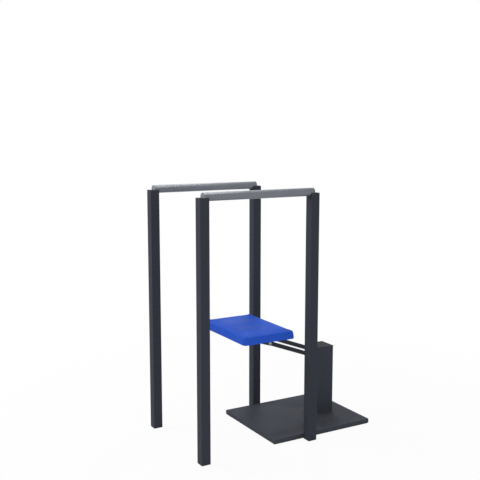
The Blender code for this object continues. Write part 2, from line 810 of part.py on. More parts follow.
def build_bush(name, y, z):
    """A plain bearing ring pressed in an arm, which turns on a pivot pin."""
    inner = PIN_RADIUS + PIVOT_PLAY
    outer = inner + BUSH_WALL
    half = ARM_WIDTH / 2
    profile = [(inner, half), (outer, half), (outer, -half), (inner, -half), (inner, half)]
    turned(name, profile, BRONZE, (0, y, z), AXIS_TO_X, PIN_SIDES)


def build_arms():
    """Both arms with their bushes, and the pivot and crank pins."""
    bush_hole = PIN_RADIUS + PIVOT_PLAY + BUSH_WALL + SEAT_GAP
    pin_hole = PIN_RADIUS + SEAT_GAP
    half_depth = ARM_DEPTH / 2
    lower_pivot = (PIVOT_Y, LOWER_PIVOT_Z)
    upper_pivot = (PIVOT_Y, UPPER_PIVOT_Z)
    lower_link = (LINK_Y, LOWER_LINK_Z)
    upper_link = (LINK_Y, UPPER_LINK_Z)
    crank = (CRANK_Y_REST, CRANK_Z_REST)
    flat_plate(
        "lower_arm",
        bar_outline(lower_link, crank, half_depth),
        [
            circle_points(lower_pivot, bush_hole),
            circle_points(lower_link, pin_hole),
            circle_points(crank, pin_hole),
        ],
        ARM_WIDTH,
        FRAME_PAINT,
        0,
        lower_pivot,
    )
    flat_plate(
        "upper_arm",
        bar_outline(upper_link, upper_pivot, half_depth),
        [circle_points(upper_pivot, bush_hole), circle_points(upper_link, pin_hole)],
        ARM_WIDTH,
        FRAME_PAINT,
        0,
        upper_pivot,
    )
    build_bush("lower_bush", *lower_pivot)
    build_bush("upper_bush", *upper_pivot)
    mast_reach = CHEEK_INNER + MAST_THICKNESS
    build_pin("lower_pivot_pin", *lower_pivot, mast_reach)
    build_pin("upper_pivot_pin", *upper_pivot, mast_reach)
    build_pin("crank_pin", *crank, CHEEK_INNER + YOKE_EAR)


def build_pad_bracket():
    """The plate under the pad with two ears that take both link pins."""
    ear_top = BRACKET_TOP - BRACKET_PLATE / 2
    rear = LINK_Y + BRACKET_BOSS
    half = BRACKET_WIDTH / 2
    bracket = block(
        "pad_bracket",
        (-half, BRACKET_FRONT_Y, BRACKET_BOTTOM),
        (half, rear, BRACKET_TOP),
        FRAME_PAINT,
    )
    toe = (BRACKET_FRONT_Y + BRACKET_BOSS, BRACKET_BOTTOM - BRACKET_EAR)
    boss_start = math.radians(BRACKET_BOSS_START_DEG)
    boss = arc_points((LINK_Y, LOWER_LINK_Z), BRACKET_BOSS, boss_start, 0)
    outline = boss + [(rear, ear_top), (toe[0], ear_top), toe]
    pin_holes = [
        circle_points((LINK_Y, LOWER_LINK_Z), PIN_RADIUS + SEAT_GAP),
        circle_points((LINK_Y, UPPER_LINK_Z), PIN_RADIUS + SEAT_GAP),
    ]
    for side, direction in (("left", -1), ("right", 1)):
        centre_x = direction * (CHEEK_INNER + BRACKET_EAR / 2)
        ear = flat_plate(side + "_ear", outline, pin_holes, BRACKET_EAR, None, centre_x)
        join(bracket, ear)
    ear_reach = CHEEK_INNER + BRACKET_EAR
    build_pin("lower_link_pin", LINK_Y, LOWER_LINK_Z, ear_reach)
    build_pin("upper_link_pin", LINK_Y, UPPER_LINK_Z, ear_reach)
    return bracket


def build_pad(bracket):
    """The cushion with the board in its underside, and the screws up through the bracket."""
    half = PAD_WIDTH / 2
    mid_y = (PAD_FRONT_Y + PAD_REAR_Y) / 2
    half_y = (PAD_REAR_Y - PAD_FRONT_Y) / 2
    centre = (0, mid_y, PAD_BOTTOM + PAD_THICKNESS / 2)
    cushion = add_object(
        "knee_pad", cushion_mesh(half, half_y, PAD_THICKNESS / 2), PAD_VINYL, centre
    )
    rounding = cushion.modifiers.new("rounding", "SUBSURF")
    rounding.levels = 1
    rounding.render_levels = 1
    board_low = (-half + BOARD_INSET, PAD_FRONT_Y + BOARD_INSET, PAD_BOTTOM)
    board_high = (half - BOARD_INSET, PAD_REAR_Y - BOARD_INSET, PAD_BOTTOM + BOARD_THICKNESS)
    board = block("pad_board", board_low, board_high, PLYWOOD)
    room = Vector((SEAT_GAP, SEAT_GAP, SEAT_GAP))
    overrun = Vector((0, 0, CUT_OVERRUN))
    pocket = block("board_pocket", Vector(board_low) - room - overrun, Vector(board_high) + room, None)
    cut(cushion, pocket)

    xs = (-BRACKET_WIDTH / 2 + PAD_SCREW_INSET, BRACKET_WIDTH / 2 - PAD_SCREW_INSET)
    ys = (BRACKET_FRONT_Y + PAD_SCREW_INSET, LINK_Y + BRACKET_BOSS - PAD_SCREW_INSET)
    seat = BRACKET_BOTTOM - SEAT_GAP
    tip = PAD_BOTTOM + PAD_SCREW_DEPTH
    for depth_name, y in (("front", ys[0]), ("rear", ys[1])):
        for side, x in (("left", xs[0]), ("right", xs[1])):
            name = f"{depth_name}_{side}_pad_screw"
            profile = [
                (0, tip),
                (PAD_SCREW_RADIUS, tip),
                (PAD_SCREW_RADIUS, seat),
                (PAD_SCREW_HEAD_RADIUS, seat),
                (PAD_SCREW_HEAD_RADIUS, seat - PAD_SCREW_HEAD),
                (0, seat - PAD_SCREW_HEAD),
            ]
            turned(name, profile, ZINC_STEEL, (x, y, 0), sides=SCREW_SIDES)
            low = BRACKET_BOTTOM - CUT_OVERRUN
            high = tip + SEAT_GAP
            hole = rod(
                name + "_hole",
                (x, y, (low + high) / 2),
                PAD_SCREW_RADIUS + SCREW_HOLE_PLAY,
                high - low,
            )
            cut(bracket, hole)
            cut(board, hole)


def grid_lines(half, low_edge, high_edge, inner_count):
    """Places of a cage's lines along one axis, with a close one beside each face."""
    low, high = -half + low_edge, half - high_edge
    between = [low + (high - low) * i / inner_count for i in range(inner_count + 1)]
    return [-half] + between + [half]


def cushion_mesh(half_x, half_y, half_z):
    """The cushion's cage: a gridded box with a crowned top and sides drawn in between corners."""
    lines = (
        grid_lines(half_x, PAD_CORNER, PAD_CORNER, PAD_GRID[0]),
        grid_lines(half_y, PAD_CORNER, PAD_CORNER, PAD_GRID[1]),
        grid_lines(half_z, PAD_FOOT_EDGE, PAD_TOP_EDGE, PAD_GRID[2]),
    )
    bm = bmesh.new()
    bmesh.ops.create_cube(bm, size=2)
    for axis, places in enumerate(lines):
        normal = Vector([1.0 if i == axis else 0.0 for i in range(3)])
        half = places[-1]
        for place in places[1:-1]:
            bmesh.ops.bisect_plane(
                bm,
                geom=bm.verts[:] + bm.edges[:] + bm.faces[:],
                plane_co=normal * (place / half),
                plane_no=normal,
            )
    bmesh.ops.scale(bm, vec=(half_x, half_y, half_z), verts=bm.verts)
    for vert in bm.verts:
        x_share = vert.co.x / half_x
        y_share = vert.co.y / half_y
        bulge = max(0.0, 1 - x_share**2) * max(0.0, 1 - y_share**2)
        if vert.co.z > 0:
            vert.co.z += PAD_CROWN * bulge * vert.co.z / half_z
        if abs(vert.co.x) > half_x - PAD_CORNER / 2:
            vert.co.x -= math.copysign(PAD_DRAW * (1 - y_share**2), vert.co.x)
        if abs(vert.co.y) > half_y - PAD_CORNER / 2:
            vert.co.y -= math.copysign(PAD_DRAW * (1 - x_share**2), vert.co.y)
    mesh = mesh_from(bm, "knee_pad")
    mesh.shade_smooth()
    return mesh


def spring_path(length):
    """Points along a coil spring that starts and ends on its own axis, straight for a wire's width."""
    coil_length = length - 2 * SPRING_END
    count = SPRING_CURLS * SPRING_POINTS_PER_CURL
    points = [Vector((0, 0, 0)), Vector((0, 0, SPRING_END / 2))]
    for i in range(count + 1):
        turns = i / SPRING_POINTS_PER_CURL
        ramp = min(1.0, turns, SPRING_CURLS - turns)
        radius = SPRING_COIL_RADIUS * ramp * ramp * (3 - 2 * ramp)
        angle = 2 * math.pi * turns
        z = SPRING_END + coil_length * i / count
        points.append(Vector((radius * math.cos(angle), radius * math.sin(angle), z)))
    points.append(Vector((0, 0, length - SPRING_END / 2)))
    points.append(Vector((0, 0, length)))
    return points


def least_gap(points, wire):
    """The least clear distance between stretches of a wire more than half a curl apart."""
    skip = SPRING_POINTS_PER_CURL // 2 + 1
    middles = [(a + b) / 2 for a, b in zip(points, points[1:])]
    places = [p for pair in zip(points, middles) for p in pair]
    least = min(
        (places[j] - places[i]).length
        for i in range(len(places))
        for j in range(i + 2 * skip, len(places))
    )
    return least - wire


def build_springs():
    low = CARRIAGE_TOP + SEAT_GAP
    high = YOKE_PLATE_BOTTOM - SEAT_GAP
    points = spring_path(high - low)
    print(f"spring: least gap to itself {least_gap(points, SPRING_WIRE) * 1000:.2f} mm")
    for side, x in (("left", -SPRING_OFFSET_X), ("right", SPRING_OFFSET_X)):
        name = side + "_spring"
        curve = bpy.data.curves.new(name, "CURVE")
        curve.dimensions = "3D"
        curve.bevel_depth = SPRING_WIRE / 2
        curve.bevel_resolution = 1
        curve.use_fill_caps = True
        spline = curve.splines.new("POLY")
        spline.points.add(len(points) - 1)
        for target, point in zip(spline.points, points):
            target.co = (*point, 1)
        add_object(name, curve, SPRING_STEEL, (x, SPRING_Y, low))


def build_yoke():
    """The crossbar over both springs, whose slotted ears hang on the crank pin."""
    yoke = block(
        "spring_yoke",
        (-YOKE_HALF_WIDTH, SPRING_Y - YOKE_DEPTH / 2, YOKE_PLATE_BOTTOM),
        (YOKE_HALF_WIDTH, SPRING_Y + YOKE_DEPTH / 2, YOKE_PLATE_TOP),
        ZINC_STEEL,
    )
    play = 2 * SEAT_GAP
    sway = (CRANK_Y_MOST - CRANK_Y_LEAST) / 2
    slot = bar_outline(
        (SPRING_Y - sway, CRANK_Z_REST), (SPRING_Y + sway, CRANK_Z_REST), PIN_RADIUS + play
    )
    ear_top = arc_points((SPRING_Y, CRANK_Z_REST), YOKE_EAR_RADIUS + sway, 0, math.pi)
    foot_z = YOKE_PLATE_TOP - YOKE_PLATE / 2
    half = YOKE_DEPTH / 2 - SEAT_GAP
    outline = ear_top + [(SPRING_Y - half, foot_z), (SPRING_Y + half, foot_z)]
    for side, direction in (("left", -1), ("right", 1)):
        centre_x = direction * (CHEEK_INNER + YOKE_EAR / 2)
        ear = flat_plate(side + "_yoke_ear", outline, [slot], YOKE_EAR, None, centre_x)
        join(yoke, ear)


def build_tensioner():
    """The anchor carriage, and the screw, thumb wheel and thrust washer that set its height."""
    carriage = block(
        "anchor_carriage",
        (-CARRIAGE_HALF_WIDTH, SPRING_Y - CARRIAGE_DEPTH / 2, CARRIAGE_BOTTOM),
        (CARRIAGE_HALF_WIDTH, SPRING_Y + CARRIAGE_DEPTH / 2, CARRIAGE_TOP),
        ZINC_STEEL,
    )
    tongue_half = CHEEK_INNER - SEAT_GAP
    tongue = block(
        "carriage_tongue",
        (-tongue_half, PIVOT_Y - CARRIAGE_TONGUE, CARRIAGE_BOTTOM + SEAT_GAP),
        (tongue_half, SPRING_Y, CARRIAGE_TOP - SEAT_GAP),
        None,
    )
    nut_hole = rod(
        "nut_hole",
        (0, SPRING_Y, (CARRIAGE_BOTTOM + CARRIAGE_TOP) / 2),
        SCREW_RADIUS + SEAT_GAP,
        CARRIAGE_HEIGHT + 2 * CUT_OVERRUN,
    )
    join(carriage, tongue)
    cut(carriage, nut_hole)

    journal_bottom = FOOT_BLOCK_TOP - SCREW_JOURNAL
    top = CARRIAGE_TOP + CARRIAGE_TRAVEL + SCREW_MARGIN
    profile = [
        (0, top),
        (SCREW_RADIUS - WHEEL_CHAMFER, top),
        (SCREW_RADIUS, top - WHEEL_CHAMFER),
        (SCREW_RADIUS, FOOT_BLOCK_TOP + SEAT_GAP),
        (SCREW_JOURNAL_RADIUS, FOOT_BLOCK_TOP + SEAT_GAP),
        (SCREW_JOURNAL_RADIUS, journal_bottom),
        (0, journal_bottom),
    ]
    turned("tension_screw", profile, ZINC_STEEL, (0, SPRING_Y, 0))
    bore = SCREW_RADIUS + SEAT_GAP
    wheel_profile = [
        (bore, WHEEL_TOP),
        (WHEEL_RADIUS - WHEEL_CHAMFER, WHEEL_TOP),
        (WHEEL_RADIUS, WHEEL_TOP - WHEEL_CHAMFER),
        (WHEEL_RADIUS, WHEEL_BOTTOM + WHEEL_CHAMFER),
        (WHEEL_RADIUS - WHEEL_CHAMFER, WHEEL_BOTTOM),
        (bore, WHEEL_BOTTOM),
        (bore, WHEEL_TOP),
    ]
    turned("thumb_wheel", wheel_profile, WHEEL_IRON, (0, SPRING_Y, 0))
    washer_top = WASHER_BOTTOM + WASHER_THICKNESS
    washer_profile = [
        (bore, washer_top),
        (WASHER_RADIUS, washer_top),
        (WASHER_RADIUS, WASHER_BOTTOM),
        (bore, WASHER_BOTTOM),
        (bore, washer_top),
    ]
    turned("thrust_washer", washer_profile, BRONZE, (0, SPRING_Y, 0), sides=PIN_SIDES)


build_side_frames()
build_base()
build_column()
build_arms()
build_pad(build_pad_bracket())
build_springs()
build_yoke()
build_tensioner()
bpy.context.view_layer.update()
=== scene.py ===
"""The looks of an assisted dip machine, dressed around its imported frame.

Metres, +Z up. The user faces -Y, and left is -X, as seen from the front.
"""

import logging
import math
from collections.abc import Iterable, Mapping, Sequence
from dataclasses import dataclass, field
from enum import Enum
from typing import ClassVar

import bmesh
import bpy
import numpy as np
from bmesh.types import BMEdge, BMesh, BMVert
from bpy.types import ID, Material, Mesh, NodeSocket, NodeTree, Object
from mathutils import Matrix, Vector


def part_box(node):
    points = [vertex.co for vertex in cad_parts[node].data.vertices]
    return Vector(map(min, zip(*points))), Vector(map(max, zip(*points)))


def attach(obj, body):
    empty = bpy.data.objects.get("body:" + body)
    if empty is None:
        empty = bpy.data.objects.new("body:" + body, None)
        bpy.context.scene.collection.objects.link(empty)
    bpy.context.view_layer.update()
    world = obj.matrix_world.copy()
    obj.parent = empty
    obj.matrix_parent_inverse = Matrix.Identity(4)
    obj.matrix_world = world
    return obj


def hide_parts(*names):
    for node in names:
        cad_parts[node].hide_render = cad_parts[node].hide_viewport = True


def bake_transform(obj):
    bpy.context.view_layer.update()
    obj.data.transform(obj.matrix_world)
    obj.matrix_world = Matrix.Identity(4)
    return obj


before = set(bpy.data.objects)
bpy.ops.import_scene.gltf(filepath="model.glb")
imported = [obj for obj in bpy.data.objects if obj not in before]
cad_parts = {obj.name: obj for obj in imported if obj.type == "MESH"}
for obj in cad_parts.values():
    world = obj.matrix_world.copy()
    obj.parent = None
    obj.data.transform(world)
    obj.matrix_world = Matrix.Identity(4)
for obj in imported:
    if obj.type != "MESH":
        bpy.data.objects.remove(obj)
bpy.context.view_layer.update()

LOG = logging.getLogger("dip_machine")
FULL_TURN = 2 * math.pi
SHARP_ANGLE = math.radians(35)
NEARLY_FLAT = 0.006
NEARLY_UPRIGHT = 0.99
TINY = 1e-6
SAME_PLACE = 0.000002
NO_STRETCH = (1.0, 1.0, 1.0)
WHITE = (1.0, 1.0, 1.0, 1.0)

Point = tuple[float, float, float]
Tone = tuple[int, int, int]
Colour = tuple[float, float, float, float]
Ring = tuple[float, float] | tuple[float, float, bool]

DUST = (132, 132, 136)
SHOE_SCRATCH = (112, 115, 122)
WORN_EDGE = (122, 125, 132)
HAND_PRINT = (82, 84, 88)
PALE_DUST = (150, 160, 190)
GRIME = (52, 48, 44)
PALE_BIRCH = (206, 172, 126)
WOOD_PORE = (120, 84, 52)
GLUE_LINE = (84, 56, 36)
RUBBED_PRINT = (96, 98, 104)


def linear(tone: Tone) -> Colour:
    """Turns an 8-bit screen colour into a linear one.

    Args:
        tone: Red, green and blue, 0 to 255.

    Returns:
        The linear colour with full alpha.
    """
    shares = [channel / 255 for channel in tone]
    line = [s / 12.92 if s <= 0.04045 else ((s + 0.055) / 1.055) ** 2.4 for s in shares]
    return (*line, 1.0)


class Value:
    """A node's socket that Python sums and products can be written with."""

    def __init__(self, nodes: "Nodes", socket: NodeSocket) -> None:
        """Keeps the socket and the tree it belongs to."""
        self.nodes = nodes
        self.socket = socket

    def __add__(self, other: "Value | float") -> "Value":
        """This value plus another."""
        return self.nodes.math("ADD", self, other)

    def __sub__(self, other: "Value | float") -> "Value":
        """This value less another."""
        return self.nodes.math("SUBTRACT", self, other)

    def __rsub__(self, other: float) -> "Value":
        """A number less this value."""
        return self.nodes.math("SUBTRACT", other, self)

    def __mul__(self, other: "Value | float") -> "Value":
        """This value times another."""
        return self.nodes.math("MULTIPLY", self, other)

    __radd__ = __add__
    __rmul__ = __mul__


class Nodes:
    """A node tree made from Python expressions."""

    def __init__(self, tree: NodeTree) -> None:
        """Empties the tree and keeps it."""
        self.tree = tree
        self.tree.nodes.clear()

    def add(
        self,
        kind: str,
        inputs: Mapping[str | int, object] | None = None,
        output: str | int | None = 0,
        **settings: object,
    ) -> Value | None:
        """Adds any node.

        Args:
            kind: The node's type.
            inputs: Numbers or values for its sockets.
            output: The socket that is handed back, or None for a node that ends the tree.
            **settings: Its settings, which are set first.

        Returns:
            The node's output, if it has one.
        """
        node = self.tree.nodes.new(kind)
        for name, setting in settings.items():
            setattr(node, name, setting)
        for name, given in (inputs or {}).items():
            if isinstance(given, Value):
                self.tree.links.new(given.socket, node.inputs[name])
            else:
                node.inputs[name].default_value = given
        return None if output is None else Value(self, node.outputs[output])

    def math(self, operation: str, *operands: Value | float, clamp: bool = False) -> Value:
        """Adds a Math node on values and numbers."""
        inputs = dict(enumerate(operands))
        return self.add("ShaderNodeMath", inputs, operation=operation, use_clamp=clamp)


class ShaderTree(Nodes):
    """The nodes of one material or world."""

    def place(self) -> Value:
        """The point on the piece, in metres."""
        return self.add("ShaderNodeTexCoord", output="Object")

    def axes(self, vector: Value) -> tuple[Value, ...]:
        """The three numbers of a vector."""
        outputs = self.add("ShaderNodeSeparateXYZ", {0: vector}).socket.node.outputs
        return tuple(Value(self, output) for output in outputs)

    def about(self, centre: Point) -> tuple[Value, ...]:
        """How far the point on the piece lies from a centre, along each axis."""
        inputs = {0: self.place(), 1: centre}
        return self.axes(self.add("ShaderNodeVectorMath", inputs, operation="SUBTRACT"))

    def noise(self, scale: float, detail: float = 2.0, stretch: Point = NO_STRETCH) -> Value:
        """Noise from 0 to 1 over the piece.

        Args:
            scale: Lumps in a metre.
            detail: Levels of finer noise.
            stretch: How much faster it changes along each axis.

        Returns:
            The noise value.
        """
        place = self.add("ShaderNodeMapping", {"Vector": self.place(), "Scale": stretch})
        return self.add("ShaderNodeTexNoise", {"Vector": place, "Scale": scale, "Detail": detail})

    def cells(self, scale: float) -> Value:
        """Distance to the nearest cell point, for a pebbled surface."""
        inputs = {"Vector": self.place(), "Scale": scale}
        return self.add("ShaderNodeTexVoronoi", inputs, "Distance")

    def step(self, value: Value, low: float, high: float) -> Value:
        """A smooth step that is 0 at low and 1 at high."""
        inputs = {0: value, 1: low, 2: high}
        return self.add("ShaderNodeMapRange", inputs, interpolation_type="SMOOTHSTEP")

    def mixed(self, share: Value, first: Value | Tone, second: Value | Tone) -> Value:
        """A colour between two, by share."""
        ends = [given if isinstance(given, Value) else linear(given) for given in (first, second)]
        return self.add("ShaderNodeMix", {0: share, 6: ends[0], 7: ends[1]}, 2, data_type="RGBA")

    def shaded(self, colour: Value | Tone, light: Value) -> Value:
        """A colour made lighter or darker by a factor."""
        given = colour if isinstance(colour, Value) else linear(colour)[:3]
        return self.add("ShaderNodeVectorMath", {0: given, "Scale": light}, operation="SCALE")

    def upward(self) -> Value:
        """How far the surface faces up, from -1 to 1."""
        return self.axes(self.add("ShaderNodeNewGeometry", output="True Normal"))[2]

    def bump(self, height: Value, distance: float, under: Value | None = None) -> Value:
        """A normal with relief of a stated depth in metres, over another relief if given."""
        inputs = {"Height": height, "Distance": distance} | ({"Normal": under} if under else {})
        return self.add("ShaderNodeBump", inputs)

    def surface(
        self,
        colour: Value,
        roughness: Value,
        normal: Value,
        specular: float = 0.5,
        metallic: Value | float = 0.0,
    ) -> None:
        """Ends the tree in a Principled shader.

        Args:
            colour: Base colour.
            roughness: Roughness.
            normal: Normal with its relief.
            specular: Strength of the gloss that isn't metallic.
            metallic: Share of bare metal.
        """
        inputs = {
            "Base Color": colour,
            "Roughness": roughness,
            "Normal": normal,
            "Specular IOR Level": specular,
            "Metallic": metallic,
        }
        shader = self.add("ShaderNodeBsdfPrincipled", inputs)
        self.add("ShaderNodeOutputMaterial", {"Surface": shader}, None)


@dataclass(frozen=True)
class Finish:
    """A surface finish with the record's slot that it belongs to."""

    name: str
    slot: str
    colour: Tone
    roughness: float

    def material(self) -> Material:
        """Makes the material, or hands back the one made before.

        Returns:
            The material.
        """
        made = bpy.data.materials.get(self.name)
        if made is None:
            made = bpy.data.materials.new(self.name)
            made.use_nodes = True
            self.paint(ShaderTree(made.node_tree))
        return made

    def paint(self, tree: ShaderTree) -> None:
        """Builds the finish's nodes."""
        raise NotImplementedError


@dataclass(frozen=True)
class PowderCoat(Finish):
    """Charcoal powder coat: orange peel, settled dust, scuffs and rubbed edges of one block."""

    low: Point = (0.0, 0.0, 0.0)
    high: Point = (0.0, 0.0, 0.0)
    edge_width: float = 0.0014
    wear: float = 0.45
    trodden: bool = False

    def paint(self, tree: ShaderTree) -> None:
        """Builds the coat's nodes.

        Args:
            tree: The material's empty tree.
        """
        broad = tree.noise(4.0, 3.0)
        fleck = tree.noise(1100.0, 1.0)
        dust = tree.step(tree.upward(), 0.5, 0.95) * tree.step(tree.noise(9.0, 4.0), 0.42, 0.72)
        scuff = tree.step(tree.noise(16.0, 4.0, (1.0, 1.0, 0.22)), 0.62, 0.72) * 0.35
        light = 0.86 + broad * 0.22 + fleck * 0.1 - scuff * 0.1
        colour = tree.mixed(dust * 0.05, tree.shaded(self.colour, light), DUST)
        roughness = self.roughness - 0.05 + broad * 0.1 + dust * 0.16 - scuff * 0.2
        if self.trodden:
            scratch = self._scratches(tree)
            colour = tree.mixed(scratch * 0.3, colour, SHOE_SCRATCH)
            roughness = roughness + scratch * 0.12
        if self.high != self.low:
            rubbed = self._edges(tree) * tree.step(tree.noise(60.0, 4.0), 0.42, 0.68)
            colour = tree.mixed(rubbed * self.wear, colour, WORN_EDGE)
            roughness = roughness - rubbed * 0.12
        fine = tree.bump(tree.noise(1500.0, 1.0), 0.00004)
        peel = tree.bump(tree.noise(520.0, 2.0), 0.00012, fine)
        tree.surface(colour, roughness, peel, 0.1)

    def _edges(self, tree: ShaderTree) -> Value:
        """The share of wear at the edges of the block.

        Args:
            tree: The material's tree.

        Returns:
            1 on an edge, 0 away from it.
        """
        middle = tuple((a + b) / 2 for a, b in zip(self.low, self.high))
        near = []
        for value, low, high in zip(tree.about(middle), self.low, self.high):
            distance = (high - low) / 2 - tree.math("ABSOLUTE", value)
            near.append(1.0 - tree.step(distance, 0.0003, self.edge_width))
        pairs = tree.math("MAXIMUM", near[0] * near[1], near[1] * near[2])
        return tree.math("MAXIMUM", pairs, near[0] * near[2])

    @staticmethod
    def _scratches(tree: ShaderTree) -> Value:
        """Faint scratches from shoes, in two directions.

        Args:
            tree: The material's tree.

        Returns:
            1 in a scratch, 0 beside it.
        """
        along = tree.step(tree.noise(26.0, 3.0, (9.0, 1.0, 1.0)), 0.66, 0.7)
        across = tree.step(tree.noise(22.0, 3.0, (1.0, 8.0, 1.0)), 0.67, 0.71)
        return tree.math("MAXIMUM", along, across) * tree.step(tree.noise(5.0, 2.0), 0.45, 0.6)


@dataclass(frozen=True)
class GripSteel(Finish):
    """Satin steel tube: fine polish along its length, smudges and brighter grip zones."""

    grip_middle: float = 0.0
    grip_half: float = 0.1

    def paint(self, tree: ShaderTree) -> None:
        """Builds the tube's nodes.

        Args:
            tree: The material's empty tree.
        """
        polish = tree.noise(90.0, 3.0, (14.0, 0.1, 14.0))
        reach = tree.math("ABSOLUTE", tree.axes(tree.place())[1] - self.grip_middle)
        held = 1.0 - tree.step(reach, self.grip_half * 0.6, self.grip_half * 1.3)
        light = 0.84 + polish * 0.2 + tree.noise(5.0, 2.0) * 0.12 + held * 0.06
        smudge = tree.step(tree.noise(22.0, 4.0), 0.5, 0.7) * (0.35 + held * 0.65)
        colour = tree.mixed(smudge * 0.1, tree.shaded(self.colour, light), HAND_PRINT)
        roughness = self.roughness + polish * 0.04 + smudge * 0.1 - held * 0.03
        tree.surface(colour, roughness, tree.bump(polish, 0.000002), 0.2, 0.25)


@dataclass(frozen=True)
class Vinyl(Finish):
    """Upholstery vinyl: pebbled grain with painted shade in its hollows, soft creases near the
    corners and worn knee patches.
    """

    centre: Point = (0.0, 0.0, 0.0)
    half: Point = (0.2, 0.15, 0.02)

    def paint(self, tree: ShaderTree) -> None:
        """Builds the cover's nodes.

        Args:
            tree: The material's empty tree.
        """
        pebble_grain_and_painted_shade = tree.cells(520.0)
        broad = tree.noise(7.0, 3.0)
        x, y, _ = tree.about(self.centre)
        shares = [tree.math("ABSOLUTE", v) * (1 / half) for v, half in zip((x, y), self.half)]
        crease = tree.step(tree.noise(30.0, 4.0, (1.0, 1.0, 2.4)), 0.5, 0.72)
        crease = crease * tree.step(shares[0] + shares[1], 1.25, 1.9)
        upward = tree.upward()
        worn = self._knee_patches(tree, x, y) * tree.step(upward, 0.6, 0.95)
        # The grain value also darkens the colour in the pebbling's hollows: painted shade.
        light = 0.9 + broad * 0.14 + pebble_grain_and_painted_shade * 0.1 - worn * 0.05
        dusty = tree.step(tree.noise(14.0, 4.0), 0.5, 0.75) * tree.step(upward, 0.5, 0.95)
        colour = tree.mixed(dusty * 0.05, tree.shaded(self.colour, light), PALE_DUST)
        roughness = self.roughness + broad * 0.08 - worn * 0.1 + crease * 0.05
        grained = tree.bump(pebble_grain_and_painted_shade, 0.00022, tree.bump(tree.noise(1600.0, 1.0), 0.00003))
        tree.surface(colour, roughness, tree.bump(crease, 0.0012, grained), 0.08)

    @staticmethod
    def _knee_patches(tree: ShaderTree, x: Value, y: Value) -> Value:
        """Two ovals where the knees rest, rubbed smooth.

        Args:
            tree: The material's tree.
            x: Distance from the cushion's middle along X.
            y: Distance from it along Y.

        Returns:
            1 inside an oval, 0 outside.
        """
        side = (tree.math("ABSOLUTE", x) - 0.085) * (1 / 0.07)
        along = (y + 0.02) * (1 / 0.1)
        return 1.0 - tree.step(side * side + along * along, 0.3, 1.1)


@dataclass(frozen=True)
class Rubber(Finish):
    """Moulded rubber with a dusty bloom."""

    def paint(self, tree: ShaderTree) -> None:
        """Builds the rubber's nodes.

        Args:
            tree: The material's empty tree.
        """
        bloom = tree.step(tree.noise(35.0, 4.0), 0.4, 0.75)
        speck = tree.noise(900.0, 2.0)
        colour = tree.shaded(self.colour, 0.8 + speck * 0.3 + bloom * 0.25)
        tree.surface(colour, self.roughness + bloom * 0.08, tree.bump(speck, 0.00008), 0.3)


@dataclass(frozen=True)
class BareMetal(Finish):
    """Plated or bare metal: mottled tint, fine turning marks and a little grime."""

    tint: Tone = (170, 172, 176)
    grime: float = 0.15
    relief: float = 0.00004

    def paint(self, tree: ShaderTree) -> None:
        """Builds the metal's nodes.

        Args:
            tree: The material's empty tree.
        """
        marks = tree.noise(240.0, 2.0)
        dirt = tree.step(tree.noise(45.0, 4.0), 0.48, 0.74) * self.grime
        mottled = tree.mixed(tree.noise(70.0, 3.0), self.colour, self.tint)
        colour = tree.mixed(dirt, tree.shaded(mottled, 0.86 + marks * 0.24), GRIME)
        roughness = self.roughness + marks * 0.12 + dirt
        tree.surface(colour, roughness, tree.bump(marks, self.relief), metallic=1.0 - dirt)


@dataclass(frozen=True)
class MouldedPlastic(Finish):
    """Moulded plastic with a fine eroded texture and faint flow marks."""

    def paint(self, tree: ShaderTree) -> None:
        """Builds the plastic's nodes.

        Args:
            tree: The material's empty tree.
        """
        grain = tree.noise(1300.0, 2.0)
        flow = tree.noise(18.0, 3.0, (1.0, 3.0, 1.0))
        colour = tree.shaded(self.colour, 0.86 + flow * 0.2 + grain * 0.08)
        tree.surface(colour, self.roughness + flow * 0.1, tree.bump(grain, 0.00006), 0.4)


@dataclass(frozen=True)
class Plywood(Finish):
    """Birch plywood: long grain on its faces and dark glue lines on its edges."""

    bottom: float = 0.0
    thickness: float = 0.009
    plies: int = 7

    def paint(self, tree: ShaderTree) -> None:
        """Builds the board's nodes.

        Args:
            tree: The material's empty tree.
        """
        grain = tree.noise(24.0, 5.0, (0.9, 14.0, 2.0))
        pores = tree.step(tree.noise(160.0, 2.0, (0.5, 6.0, 1.0)), 0.6, 0.72)
        height = (tree.axes(tree.place())[2] - self.bottom) * (self.plies / self.thickness)
        on_edge = 1.0 - tree.math("ABSOLUTE", tree.upward(), clamp=True)
        glue = tree.step(tree.math("PINGPONG", height, 1.0), 0.8, 0.98) * on_edge
        colour = tree.mixed(grain, self.colour, PALE_BIRCH)
        colour = tree.mixed(pores * 0.35, colour, WOOD_PORE)
        colour = tree.mixed(glue * 0.7, colour, GLUE_LINE)
        normal = tree.bump(grain, 0.00015, tree.bump(pores, 0.0001))
        tree.surface(colour, self.roughness + grain * 0.1, normal, 0.3)


@dataclass(frozen=True)
class MarkPaint(Finish):
    """Printed light mark, a little rubbed."""

    def paint(self, tree: ShaderTree) -> None:
        """Builds the print's nodes.

        Args:
            tree: The material's empty tree.
        """
        rubbed = tree.step(tree.noise(400.0, 3.0), 0.52, 0.7)
        colour = tree.mixed(rubbed * 0.4, self.colour, RUBBED_PRINT)
        normal = tree.bump(tree.noise(900.0, 1.0), 0.00003)
        tree.surface(colour, self.roughness + rubbed * 0.1, normal, 0.4)


CHARCOAL = (55, 58, 67)
# Lighter copy of the frame charcoal for the base plate: painted light, standing in for the light on
# its top.
PLATE_CHARCOAL_PAINTED_LIGHT = (64, 67, 76)
# Lighter copy of the frame charcoal for the column shell: painted light against the shade from the
# plate below.
COLUMN_CHARCOAL_PAINTED_LIGHT = (60, 63, 72)
# Darker copy of the frame charcoal for the column cap: painted shadow on its top.
CAP_CHARCOAL_PAINTED_SHADOW = (49, 52, 58)
COAT_ROUGHNESS = 0.62


